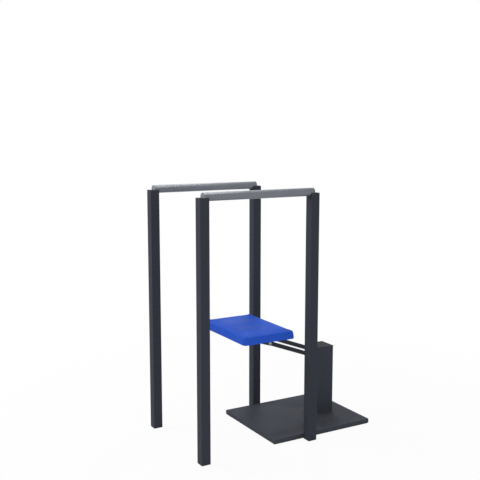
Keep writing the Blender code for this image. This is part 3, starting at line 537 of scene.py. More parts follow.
def coat_for(
    nodes: Sequence[str], colour: Tone = CHARCOAL, wear: float = 0.45, trodden: bool = False
) -> PowderCoat:
    """The powder coat of squared nodes that make one block, with wear at the block's edges.

    Args:
        nodes: The CAD nodes' names, from the bottom up.
        colour: The coat's colour.
        wear: How bare the rubbed edges are.
        trodden: Whether shoes stand on it.

    Returns:
        The finish.
    """
    low, high = tuple(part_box(nodes[0])[0]), tuple(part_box(nodes[-1])[1])
    fixed = (f"charcoal_coat_{nodes[0]}", "frame_paint", colour, COAT_ROUGHNESS)
    return PowderCoat(*fixed, low=low, high=high, wear=wear, trodden=trodden)


PLAIN_COAT = PowderCoat("charcoal_coat", "frame_paint", CHARCOAL, COAT_ROUGHNESS)
GRIP_STEEL = GripSteel("grip_steel", "rail_steel", (120, 123, 131), 0.32, grip_middle=-0.17)
FOOT_RUBBER = Rubber("foot_rubber", "black_rubber", (36, 37, 41), 0.8)
TRIM_RUBBER = Rubber("trim_rubber", "black_rubber", (30, 31, 35), 0.7)
ZINC = BareMetal("zinc_plate", "zinc_steel", (168, 170, 176), 0.3, tint=(182, 178, 160))
SPRING_WIRE_STEEL = BareMetal(
    "spring_wire_steel", "spring_steel", (86, 88, 94), 0.3, tint=(112, 108, 100), grime=0.4
)
BRONZE = BareMetal("oiled_bronze", "bronze", (156, 112, 64), 0.34, tint=(128, 88, 48), grime=0.3)
WHEEL_ENAMEL = BareMetal(
    "wheel_enamel", "wheel_iron", (62, 64, 69), 0.4, tint=(78, 80, 85), grime=0.2, relief=0.0001
)
END_PLASTIC = MouldedPlastic("end_plug_plastic", "plug_plastic", (138, 140, 146), 0.42)
NYLON = MouldedPlastic("nylon_washer_plastic", "plug_plastic", (198, 198, 192), 0.45)
MARK = MarkPaint("printed_mark", "plug_plastic", (196, 198, 202), 0.5)


class Side(Enum):
    """The machine's two sides, with the sign of X."""

    LEFT = -1
    RIGHT = 1

    @property
    def word(self) -> str:
        """The side's name in a piece's name."""
        return self.name.lower()


AXIS_X = Matrix.Rotation(math.pi / 2, 4, "Y")
AXIS_Y = Matrix.Rotation(-math.pi / 2, 4, "X")
AXIS_MINUS_Y = Matrix.Rotation(math.pi / 2, 4, "X")


def middle_of(node: str) -> Vector:
    """The middle of a CAD node's box."""
    low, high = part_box(node)
    return (low + high) / 2


def on_circle(radius: float, angle: float, height: float) -> Vector:
    """A point round the axis Z."""
    return Vector((radius * math.cos(angle), radius * math.sin(angle), height))


def skin_rows(
    bm: BMesh, rows: Sequence[Sequence[BMVert]], loop: bool = False, caps: bool = False
) -> None:
    """Joins rows of points by strips of faces.

    Args:
        bm: The mesh being built.
        rows: Rows that each go round the shape; a row of one point closes an end.
        loop: Whether the last row joins the first.
        caps: Whether the first and last rows are filled.
    """
    for low, high in zip(rows, [*rows[1:], *(rows[:1] if loop else [])]):
        sides = max(len(low), len(high))
        for index in range(sides):
            after = (index + 1) % sides
            corners = [low[index % len(low)], low[after % len(low)]]
            corners += [high[after % len(high)], high[index % len(high)]]
            bm.faces.new(list(dict.fromkeys(corners)))
    if caps:
        bm.faces.new(rows[0])
        bm.faces.new(rows[-1])


def turn_shape(
    bm: BMesh, rings: Sequence[Ring], sides: int, place: Matrix, loop: bool = False
) -> None:
    """Adds a turned solid to a mesh being built.

    Args:
        bm: The mesh being built.
        rings: Radius and height of each ring, and True for a six-sided one; a radius of 0
            closes an end.
        sides: Points round a ring, a multiple of 6 where a ring is six-sided.
        place: Where its own axis Z and its zero height lie.
        loop: Whether the last ring joins the first, as in a washer.
    """
    rows = []
    for radius, height, *hexed in rings:
        row = []
        for index in range(sides if radius else 1):
            angle = FULL_TURN * index / sides
            reach = radius / math.cos(angle % (math.pi / 3) - math.pi / 6) if hexed else radius
            row.append(bm.verts.new(place @ on_circle(reach, angle, height)))
        rows.append(row)
    skin_rows(bm, rows, loop)


def flipped(rings: Sequence[Ring], length: float) -> list[Ring]:
    """The same rings from the far end of a length, in reverse."""
    return [(radius, length - height) for radius, height in reversed(rings)]


def turned(
    name: str, rings: Sequence[Ring], sides: int, place: Matrix | None = None, loop: bool = False
) -> Mesh:
    """The mesh of one turned solid, as turn_shape makes it.

    Args:
        name: The mesh's name.
        rings: The solid's rings.
        sides: Points round a ring.
        place: Where its own axis Z lies; the frame's own axes if not given.
        loop: Whether the last ring joins the first.

    Returns:
        The mesh.
    """
    bm = bmesh.new()
    turn_shape(bm, rings, sides, place or Matrix.Identity(4), loop)
    return mesh_from(bm, name)


def add_block(bm: BMesh, low: Sequence[float], high: Sequence[float], edge: float = 0.0) -> None:
    """Adds a box between two corners, with its edges rounded by a stated width.

    Args:
        bm: The mesh being built.
        low: The box's low corner.
        high: Its high corner.
        edge: Width of its rounded edges, or 0 for sharp ones.
    """
    made = bmesh.ops.create_cube(bm, size=1)["verts"]
    bmesh.ops.scale(bm, vec=Vector(high) - Vector(low), verts=made)
    bmesh.ops.translate(bm, vec=(Vector(low) + Vector(high)) / 2, verts=made)
    if edge:
        edges = list({e for v in made for e in v.link_edges})
        bmesh.ops.bevel(bm, geom=edges, offset=edge, segments=2, affect="EDGES", profile=0.5)


def shade_by_angle(mesh: Mesh) -> None:
    """Shades faces that meet under the sharp angle as one."""
    mesh.shade_smooth()
    mesh.set_sharp_from_angle(angle=SHARP_ANGLE)


def mesh_from(bm: BMesh, name: str, smooth: bool = True) -> Mesh:
    """Ends a mesh being built, with its faces outward.

    Args:
        bm: The mesh being built, which is freed.
        name: The mesh's name.
        smooth: Whether faces under the sharp angle are shaded smooth.

    Returns:
        The mesh.
    """
    bmesh.ops.recalc_face_normals(bm, faces=bm.faces)
    mesh = bpy.data.meshes.new(name)
    bm.to_mesh(mesh)
    bm.free()
    if smooth:
        shade_by_angle(mesh)
    return mesh


def link_object(name: str, data: ID) -> Object:
    """Makes an object and puts it in the scene.

    Args:
        name: The object's name.
        data: Its mesh, light or camera.

    Returns:
        The object.
    """
    made = bpy.data.objects.new(name, data)
    bpy.context.scene.collection.objects.link(made)
    return made


def seen_mesh(thing: Object, keep: bool = False) -> Mesh:
    """The plain mesh that an object's modifiers make; the object goes, unless it is kept.

    Args:
        thing: The object.
        keep: Whether the object stays.

    Returns:
        The mesh, which has the object's name if that goes.
    """
    name = thing.name
    seen = thing.evaluated_get(bpy.context.evaluated_depsgraph_get())
    mesh = bpy.data.meshes.new_from_object(seen)
    if not keep:
        bpy.data.objects.remove(thing, do_unlink=True)
        mesh.name = name
    return mesh


def cover_mesh(mesh: Mesh, finish: Finish) -> None:
    """Gives a mesh one finish all over."""
    mesh.materials.clear()
    mesh.materials.append(finish.material())


def settle_piece(piece: Object, replaced: Iterable[str]) -> None:
    """Hides the CAD nodes that a piece stands for, and logs its faces.

    Args:
        piece: The piece.
        replaced: CAD nodes that it stands for.
    """
    if replaced:
        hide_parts(*replaced)
    LOG.info("%s: %d faces", piece.name, len(piece.data.polygons))


def place_piece(
    mesh: Mesh, name: str, finish: Finish, body: str, replaced: Iterable[str] = ()
) -> Object:
    """Makes a finished piece that rides on a body.

    Args:
        mesh: Its mesh, in the frame's own axes.
        name: Its name.
        finish: Its finish.
        body: The body that it rides on.
        replaced: CAD nodes that it stands for.

    Returns:
        The piece.
    """
    piece = link_object(name, mesh)
    cover_mesh(mesh, finish)
    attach(piece, body)
    settle_piece(piece, replaced)
    return piece


def dress_nodes(finish: Finish, *nodes: str) -> None:
    """Gives CAD nodes their finish.

    Args:
        finish: The finish.
        *nodes: The CAD nodes' names.
    """
    for node in nodes:
        cover_mesh(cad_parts[node].data, finish)
        LOG.info("%s: %s", node, finish.name)


@dataclass(frozen=True)
class Easing:
    """How wide the outer edges of a squared part are eased.

    An edge is eased where it is convex, turns by more than the stated bend, is at least as
    long as stated, and stands upright, if only upright ones are meant. Edges that the CAD
    solid already rounds stay as they are.
    """

    width: float
    least: float
    upright: bool = False
    segments: int = 3
    bend: float = math.radians(50)

    def chosen(self, edge: BMEdge) -> bool:
        """Whether an edge is eased.

        Args:
            edge: An edge of the part.

        Returns:
            True if it is eased.
        """
        if len(edge.link_faces) != 2 or not edge.is_convex or edge.calc_length() < self.least:
            return False
        run = (edge.verts[1].co - edge.verts[0].co).normalized()
        if self.upright and abs(run.z) < NEARLY_UPRIGHT:
            return False
        return edge.calc_face_angle(0.0) > self.bend


def ease_node(node: str, finish: Finish, body: str, *easings: Easing) -> None:
    """Puts a copy of a CAD node, with eased edges and evenly shaded faces, in its place.

    Args:
        node: The CAD node's name.
        finish: Its finish.
        body: The body that it rides on.
        *easings: The easings, wider ones first; none where the CAD solid has them all.
    """
    bm = bmesh.new()
    bm.from_mesh(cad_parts[node].data)
    bmesh.ops.remove_doubles(bm, verts=bm.verts, dist=SAME_PLACE)
    bmesh.ops.dissolve_limit(bm, angle_limit=NEARLY_FLAT, verts=bm.verts, edges=bm.edges)
    for easing in easings:
        sizes = {"offset": easing.width, "segments": easing.segments, "profile": 0.5}
        edges = [edge for edge in bm.edges if easing.chosen(edge)]
        bmesh.ops.bevel(bm, geom=edges, affect="EDGES", clamp_overlap=True, **sizes)
    bmesh.ops.triangulate(bm, faces=[face for face in bm.faces if len(face.verts) > 4])
    shaped = link_object(f"{node}_eased", mesh_from(bm, f"{node}_eased"))
    weighted = shaped.modifiers.new("flat_faces", "WEIGHTED_NORMAL")
    weighted.mode = "FACE_AREA"
    weighted.keep_sharp = True
    place_piece(seen_mesh(shaped), f"{node}_eased", finish, body, [node])


class GeometryTree(Nodes):
    """A Geometry Nodes tree built here, whose result becomes a plain mesh."""

    def __init__(self, name: str) -> None:
        """Starts an empty tree with its output.

        Args:
            name: The tree's name.
        """
        super().__init__(bpy.data.node_groups.new(name, "GeometryNodeTree"))
        self.identifiers: dict[str, str] = {}
        kind = "NodeSocketGeometry"
        self.tree.interface.new_socket("Geometry", in_out="OUTPUT", socket_type=kind)
        self.source = self.tree.nodes.new("NodeGroupInput")

    def inputs(self, kind: str, *names: str) -> list[Value]:
        """Adds named inputs.

        Args:
            kind: Their socket type without its first word, such as Float.
            *names: The inputs' names.

        Returns:
            The inputs inside the tree.
        """
        for name in names:
            socket_type = f"NodeSocket{kind}"
            item = self.tree.interface.new_socket(name, in_out="INPUT", socket_type=socket_type)
            self.identifiers[name] = item.identifier
        return [Value(self, self.source.outputs[name]) for name in names]

    def close(self, geometry: Value, finish: Finish) -> None:
        """Ends the tree in Realize Instances and Set Material.

        Args:
            geometry: What the tree has made.
            finish: Its finish.
        """
        real = self.add("GeometryNodeRealizeInstances", {0: geometry})
        inputs = {"Geometry": real, "Material": finish.material()}
        self.add("NodeGroupOutput", {0: self.add("GeometryNodeSetMaterial", inputs)}, None)

    def mesh(self, name: str, values: Mapping[str, object], host: Mesh | None = None) -> Mesh:
        """Runs the tree once.

        Args:
            name: Name of the mesh.
            values: The named inputs' values.
            host: The mesh that the tree starts from, if it takes one.

        Returns:
            A plain mesh.
        """
        holder = link_object(name, host or bpy.data.meshes.new(name))
        modifier = holder.modifiers.new(name, "NODES")
        modifier.node_group = self.tree
        for key, value in values.items():
            modifier[self.identifiers[key]] = value
        return seen_mesh(holder)


class SpreadTree(GeometryTree):
    """Puts a pattern piece at each point of a host mesh, along its axis, turned by chance."""

    def __init__(self, name: str, finish: Finish) -> None:
        """Builds the tree, whose copies get the finish.

        Args:
            name: The tree's name.
            finish: The copies' finish.
        """
        super().__init__(name)
        (points,) = self.inputs("Geometry", "Points")
        (pattern,) = self.inputs("Object", "Pattern")
        (spin,) = self.inputs("Float", "Most turn")
        (seed,) = self.inputs("Int", "Seed")
        vector = {"data_type": "FLOAT_VECTOR"}
        axis = self.add("GeometryNodeInputNamedAttribute", {"Name": "axis"}, **vector)
        aligned = self.add("FunctionNodeAlignRotationToVector", {"Vector": axis}, axis="Z")
        limits = {2: 0.0, 3: spin, "Seed": seed}
        chance = self.add("FunctionNodeRandomValue", limits, 1, data_type="FLOAT")
        about_z = {"Axis": (0.0, 0.0, 1.0), "Angle": chance}
        turn = self.add("FunctionNodeAxisAngleToRotation", about_z)
        both = {"Rotation": aligned, "Rotate By": turn}
        rotation = self.add("FunctionNodeRotateRotation", both, rotation_space="LOCAL")
        shape = self.add("GeometryNodeObjectInfo", {"Object": pattern}, "Geometry")
        copies = {"Points": points, "Instance": shape, "Rotation": rotation}
        self.close(self.add("GeometryNodeInstanceOnPoints", copies), finish)


def spread_piece(
    name: str,
    finish: Finish,
    body: str,
    pattern: Mesh,
    places: Sequence[tuple[Sequence[float], Sequence[float]]],
    replaced: Iterable[str] = (),
    spin: float = 0.0,
    seed: int = 7,
) -> None:
    """Makes one piece of a pattern that is put at each place.

    Args:
        name: The piece's name.
        finish: Its finish.
        body: The body that it rides on.
        pattern: The pattern's mesh, whose own +Z follows each place's axis.
        places: Points, each with its axis.
        replaced: CAD nodes that it stands for.
        spin: Most turn of a copy about its axis, in radians.
        seed: Seed of the turns.
    """
    host = bpy.data.meshes.new(name + "_points")
    host.from_pydata([tuple(point) for point, _ in places], [], [])
    axes = host.attributes.new("axis", "FLOAT_VECTOR", "POINT")
    axes.data.foreach_set("vector", [float(n) for _, axis in places for n in axis])
    example = link_object(name + "_pattern", pattern)
    values = {"Pattern": example, "Most turn": spin, "Seed": seed}
    mesh = SpreadTree(name + "_spread", finish).mesh(name, values, host)
    bpy.data.objects.remove(example, do_unlink=True)
    place_piece(mesh, name, finish, body, replaced)


@dataclass(frozen=True)
class ButtonScrew:
    """A screw with a domed head, a six-sided socket and a short shank."""

    radius: float
    height: float
    socket: float
    shank: float
    socket_floor: float = 0.35

    def mesh(self) -> Mesh:
        """The screw's mesh, with its seat at height 0.

        Returns:
            The mesh, about the screw's own axis Z.
        """
        radius, height, socket, shank = self.radius, self.height, self.socket, self.shank
        deep = height * self.socket_floor
        dome = ((0.96, 0), (1, 0.1), (1, 0.3), (0.93, 0.62), (0.76, 0.9), (0.62, 1))
        rings = [(0, -shank), (shank, -shank), (shank, 0)]
        rings += [(radius * across, height * up) for across, up in dome]
        rings += [(socket * 1.18, height), (socket, height * 0.94, True), (socket, deep, True)]
        return turned("button_screw", [*rings, (0, deep * 0.8)], 24)


class SubAssembly:
    """Part of the machine that is built first and dressed after that."""

    def build(self) -> None:
        """Builds the pieces that it adds to the CAD nodes or puts in their place."""

    def dress(self) -> None:
        """Gives its CAD nodes their finishes."""


@dataclass
class SideFrames(SubAssembly):
    """Posts, feet, saddles, rails with their plugs, and the bolts into the base plate."""

    rail_sides: int = 64
    rail_parts: int = 8
    rail_wall: float = 0.0025
    rail_lip: float = 0.0006
    plug_rim: float = 0.0007
    plug_flange: float = 0.002
    plug_play: float = 0.0003
    plug_dish: float = 0.0004
    bolt: ButtonScrew = ButtonScrew(0.008, 0.003, 0.0025, 0.005)
    corner_ease: float = 0.0009
    foot_ease: float = 0.0006
    corners: ClassVar[tuple[str, ...]] = ("front_left", "front_right", "rear_left", "rear_right")

    def build(self) -> None:
        """Builds the rails, plugs and bolts in place of the CAD ones."""
        for side in Side:
            self._rail(side)
            for end in ("front", "rear"):
                self._plug(end, side)
        self._frame_bolts()

    def _rail(self, side: Side) -> None:
        """Builds one round rail as a smooth tube with eased ends.

        Args:
            side: The side it lies on.
        """
        node = f"{side.word}_rail"
        low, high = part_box(node)
        radius, length, lip = (high.z - low.z) / 2, high.y - low.y, self.rail_lip
        inner, parts = radius - self.rail_wall, self.rail_parts
        end = [(inner, lip), (inner + lip, 0), (radius - lip, 0), (radius, lip)]
        middle = [(radius, length * step / parts) for step in range(1, parts)]
        rings = end + middle + flipped(end, length)
        start = Matrix.Translation(((low.x + high.x) / 2, low.y, (low.z + high.z) / 2))
        mesh = turned(node, rings, self.rail_sides, start @ AXIS_Y, loop=True)
        place_piece(mesh, f"{side.word}_grip_rail", GRIP_STEEL, "frame", [node])

    def _plug(self, end: str, side: Side) -> None:
        """Builds one end plug with an eased, slightly dished face.

        Args:
            end: Front or rear.
            side: The rail's side.
        """
        node = f"{end}_{side.word}_rail_plug"
        low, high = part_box(node)
        radius, depth, rim = (high.z - low.z) / 2, high.y - low.y, self.plug_rim
        bore = radius - self.rail_wall - self.plug_play
        rings = [(0, -self.plug_dish), (radius * 0.62, -self.plug_dish), (radius * 0.7, 0)]
        rings += [(radius - rim, 0), (radius - rim * 0.3, -rim * 0.3), (radius, -rim)]
        rings += [(radius, -self.plug_flange), (bore, -self.plug_flange)]
        rings += [(bore, -depth), (0, -depth)]
        outer_y, turn = (low.y, AXIS_MINUS_Y) if end == "front" else (high.y, AXIS_Y)
        place = Matrix.Translation(((low.x + high.x) / 2, outer_y, (low.z + high.z) / 2)) @ turn
        name = f"{end}_{side.word}_end_plug"
        place_piece(turned(name, rings, 48, place), name, END_PLASTIC, "frame", [node])

    def _frame_bolts(self) -> None:
        """Builds the bolt heads on the rear posts' outer faces."""
        nodes = [f"rear_{side.word}_frame_bolt" for side in Side]
        places = []
        for side, node in zip(Side, nodes):
            _, y, z = middle_of(node)
            outer_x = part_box(node)[side is Side.RIGHT].x
            places.append(((outer_x - side.value * self.bolt.height, y, z), (side.value, 0, 0)))
        screw, spin = self.bolt.mesh(), math.pi / 3
        spread_piece("frame_bolts", PLAIN_COAT, "frame", screw, places, nodes, spin)

    def dress(self) -> None:
        """Eases and dresses saddles and feet, and dresses the posts and the rail screws."""
        upright = Easing(self.corner_ease, least=0.012, upright=True)
        rim = Easing(self.foot_ease, least=0.03)
        for corner in self.corners:
            post, saddle = f"{corner}_post", f"{corner}_saddle"
            coat = coat_for((post, saddle), wear=0.3)
            ease_node(post, coat, "frame")
            ease_node(saddle, coat, "frame", upright)
            ease_node(f"{corner}_foot", FOOT_RUBBER, "frame", upright, rim)
            dress_nodes(ZINC, f"{corner}_rail_screw")


@dataclass
class BasePlate(SubAssembly):
    """The plate between the rear posts, its mat and the bolts under it."""

    def dress(self) -> None:
        """Dresses the plate, the mat and the column's bolts."""
        # The plate takes the lighter copy of the charcoal, as painted light on its top.
        ease_node("base_plate", coat_for(("base_plate",), PLATE_CHARCOAL_PAINTED_LIGHT, trodden=True), "frame")
        dress_nodes(FOOT_RUBBER, "base_mat")
        dress_nodes(ZINC, "left_column_bolt", "right_column_bolt")


@dataclass
class Column(SubAssembly):
    """The square column with edge trims round its arm slot and wheel window."""

    slot: Point = (0.021, 0.3026, 0.3872)
    window: Point = (0.02948, 0.0557, 0.0777)
    trim_lip: float = 0.001
    trim_face: float = 0.0035
    trim_proud: float = 0.0009
    trim_seat: float = 0.0002
    trim_round: float = 0.0003
    trim_tail: float = 0.0004
    wall: float = 0.003
    mark_height: float = 0.1
    mark_offset: float = 0.022
    mark_size: float = 0.009
    mark_stroke: float = 0.0018
    mark_proud: float = 0.0002
    mark_step: float = 0.00005
    cap_ease: float = 0.0009

    def build(self) -> None:
        """Builds both trims and the wheel's two marks."""
        low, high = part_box("column_shell")
        self._trim("arm_slot_trim", self.slot, low.y, -1)
        self._trim("wheel_window_trim", self.window, high.y, 1)
        self._marks(high.y)

    def _trim(self, name: str, hole: Point, face: float, out: int) -> None:
        """Builds a rubber edge trim round a hole in a wall.

        Args:
            name: The piece's name.
            hole: The hole's half width, its low and its high edge.
            face: Y of the wall's outer face.
            out: 1 where the face looks along +Y, -1 where along -Y.
        """
        half, low, high = hole
        lip, flange, soft = self.trim_lip, self.trim_face, self.trim_round
        proud = face + out * self.trim_proud
        back = face - out * (self.wall + self.trim_tail)
        seat = face + out * self.trim_seat
        profile = [(flange, seat), (flange, proud - out * soft), (flange - soft, proud)]
        profile += [(-lip + soft, proud), (-lip, proud - out * soft)]
        profile += [(-lip, back), (-self.trim_seat, back), (-self.trim_seat, seat)]
        bm = bmesh.new()
        rows = [
            [bm.verts.new((sx * (half + grow), y, edge + sz * grow)) for grow, y in profile]
            for sx, sz, edge in ((-1, -1, low), (1, -1, low), (1, 1, high), (-1, 1, high))
        ]
        skin_rows(bm, rows, loop=True)
        place_piece(mesh_from(bm, name), name, TRIM_RUBBER, "frame")

    def _marks(self, face: float) -> None:
        """Builds the minus and plus beside the wheel, for less and more help.

        Args:
            face: Y of the column's rear face.
        """
        z, long, short = self.mark_height, self.mark_size / 2, self.mark_stroke / 2
        minus, plus = [(long, short)], [(long, short), (short, long)]
        for word, sign, strokes in (("less", -1, minus), ("more", 1, plus)):
            x = sign * self.mark_offset
            bm = bmesh.new()
            for index, (half_x, half_z) in enumerate(strokes):
                top = face + self.mark_proud + self.mark_step * index
                add_block(bm, (x - half_x, face, z - half_z), (x + half_x, top, z + half_z))
            name = f"{word}_help_mark"
            place_piece(mesh_from(bm, name, smooth=False), name, MARK, "frame")

    def dress(self) -> None:
        """Dresses the shell, the cap with its eased rim, and what stands inside; the shell's coat
        is lighter as painted light, the cap's darker as painted shadow.
        """
        # The shell's coat is lighter than the posts' charcoal: painted light.
        shell_coat_painted_light = coat_for(("column_shell", "column_cap"), COLUMN_CHARCOAL_PAINTED_LIGHT)
        ease_node("column_shell", shell_coat_painted_light, "frame")
        # The cap's coat is darker than the shell's: painted shadow.
        cap_coat_painted_shadow = coat_for(("column_cap",), CAP_CHARCOAL_PAINTED_SHADOW)
        ease_node("column_cap", cap_coat_painted_shadow, "frame", Easing(self.cap_ease, least=0.09))
        inside = ("column_foot", "mechanism_deck", "left_mast", "right_mast", "stop_bar")
        dress_nodes(PLAIN_COAT, *inside)


@dataclass
class HeadedPin:
    """A pivot pin along X with a domed head and a ring clip at its tail."""

    node: str
    body: str
    radius: float = 0.006
    head_radius: float = 0.009
    head: float = 0.0025
    bevel: float = 0.0007
    tail: float = 0.0018
    clip_radius: float = 0.0092
    clip_thickness: float = 0.0009
    clip_bite: float = 0.0002
    clip_gap: float = math.radians(35)
    clip_parts: int = 20

    def build(self) -> None:
        """Builds the pin in place of its CAD node, and its clip."""
        low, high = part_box(self.node)
        _, y, z = middle_of(self.node)
        place = Matrix.Translation((low.x, y, z)) @ AXIS_X
        length = high.x - low.x
        dome = ((0, 0), (0.5, 0.0001), (0.82, 0.0006), (1, 0.0015), (1, self.head))
        rings = [(self.head_radius * across, up) for across, up in dome]
        rings += [(self.radius, self.head), (self.radius, length - self.bevel)]
        rings += [(self.radius - self.bevel, length), (0, length)]
        bm = bmesh.new()
        turn_shape(bm, rings, 32, place)
        self._clip(bm, place, length - self.tail)
        name = f"{self.node}_turned"
        place_piece(mesh_from(bm, name), name, ZINC, self.body, [self.node])

    def _clip(self, bm: BMesh, place: Matrix, start: float) -> None:
        """Adds an open ring clip round the pin's tail.

        Args:
            bm: The mesh being built.
            place: Where the pin's own axis lies.
            start: Height of the clip's near face along the pin.
        """
        inner, outer, end = self.radius - self.clip_bite, self.clip_radius, self.clip_thickness
        section = ((inner, 0), (outer, 0), (outer, end), (inner, end))
        rows = []
        for index in range(self.clip_parts + 1):
            angle = self.clip_gap + (FULL_TURN - 2 * self.clip_gap) * index / self.clip_parts
            points = [on_circle(radius, angle, start + up) for radius, up in section]
            rows.append([bm.verts.new(place @ point) for point in points])
        skin_rows(bm, rows, caps=True)


@dataclass
class ArmLinkage(SubAssembly):
    """Both arms, their bushes and side washers, and every pivot pin."""

    washer_inner: float = 0.0063
    washer_outer: float = 0.0095
    washer_thickness: float = 0.0006
    washer_seat: float = 0.0181
    arm_ease: float = 0.0012
    pins: ClassVar[tuple[tuple[str, str], ...]] = (
        ("lower_pivot_pin", "frame"),
        ("upper_pivot_pin", "frame"),
        ("crank_pin", "lower_arm"),
        ("lower_link_pin", "pad_carrier"),
        ("upper_link_pin", "pad_carrier"),
    )
    washers: ClassVar[tuple[tuple[str, tuple[str, ...]], ...]] = (
        ("lower_arm", ("lower_pivot_pin", "lower_link_pin", "crank_pin")),
        ("upper_arm", ("upper_pivot_pin", "upper_link_pin")),
    )

    def build(self) -> None:
        """Builds the pins, and the thin washers between the arms and their cheeks."""
        for node, body in self.pins:
            HeadedPin(node, body).build()
        inner, outer, top = self.washer_inner, self.washer_outer, self.washer_thickness
        section = [(inner, 0), (outer, 0), (outer, top), (inner, top)]
        for body, nodes in self.washers:
            places = []
            for node in nodes:
                _, y, z = middle_of(node)
                signs = [side.value for side in Side]
                places += [((sign * self.washer_seat, y, z), (sign, 0, 0)) for sign in signs]
            washer = turned("side_washer", section, 24, loop=True)
            spread_piece(f"{body}_side_washers", NYLON, body, washer, places)

    def dress(self) -> None:
        """Eases and dresses the arms, and dresses their bushes."""
        for arm in ("lower", "upper"):
            easing = Easing(self.arm_ease, least=0.03)
            ease_node(f"{arm}_arm", PLAIN_COAT, f"{arm}_arm", easing)
            dress_nodes(BRONZE, f"{arm}_bush")


class CoilTree(GeometryTree):
    """A stretch of coil spring: its wire follows a rising circle that closes in at one end."""

    def __init__(self, finish: Finish) -> None:
        """Builds the tree, whose wire gets the finish.

        Args:
            finish: The wire's finish.
        """
        super().__init__("coil_spring")
        (points,) = self.inputs("Int", "Points")
        turns, first_turn, end_turn = self.inputs("Float", "Turns", "First turn", "End turn")
        radius, wire = self.inputs("Float", "Coil radius", "Wire radius")
        start, rise, x, y = self.inputs("Float", "Start height", "Rise", "X", "Y")
        line = self.add("GeometryNodeCurvePrimitiveLine", mode="POINTS")
        path = self.add("GeometryNodeResampleCurve", {"Curve": line, "Count": points})
        share = self.add("GeometryNodeSplineParameter", output="Factor")
        turn = first_turn + share * turns
        ramp = self.math("MINIMUM", self.math("ABSOLUTE", end_turn - turn), 1.0)
        reach = radius * (ramp * ramp * (3.0 - ramp * 2.0))
        cosine, sine = (self.math(name, turn * FULL_TURN) for name in ("COSINE", "SINE"))
        axes = {0: x + reach * cosine, 1: y + reach * sine, 2: start + share * rise}
        moved = {"Geometry": path, "Position": self.add("ShaderNodeCombineXYZ", axes)}
        curve = self.add("GeometryNodeSetPosition", moved)
        section = {"Resolution": 10, "Radius": wire}
        ring = self.add("GeometryNodeCurvePrimitiveCircle", section)
        swept = {"Curve": curve, "Profile Curve": ring, "Fill Caps": True}
        tube = self.add("GeometryNodeCurveToMesh", swept)
        self.close(self.add("GeometryNodeSetShadeSmooth", {0: tube}), finish)


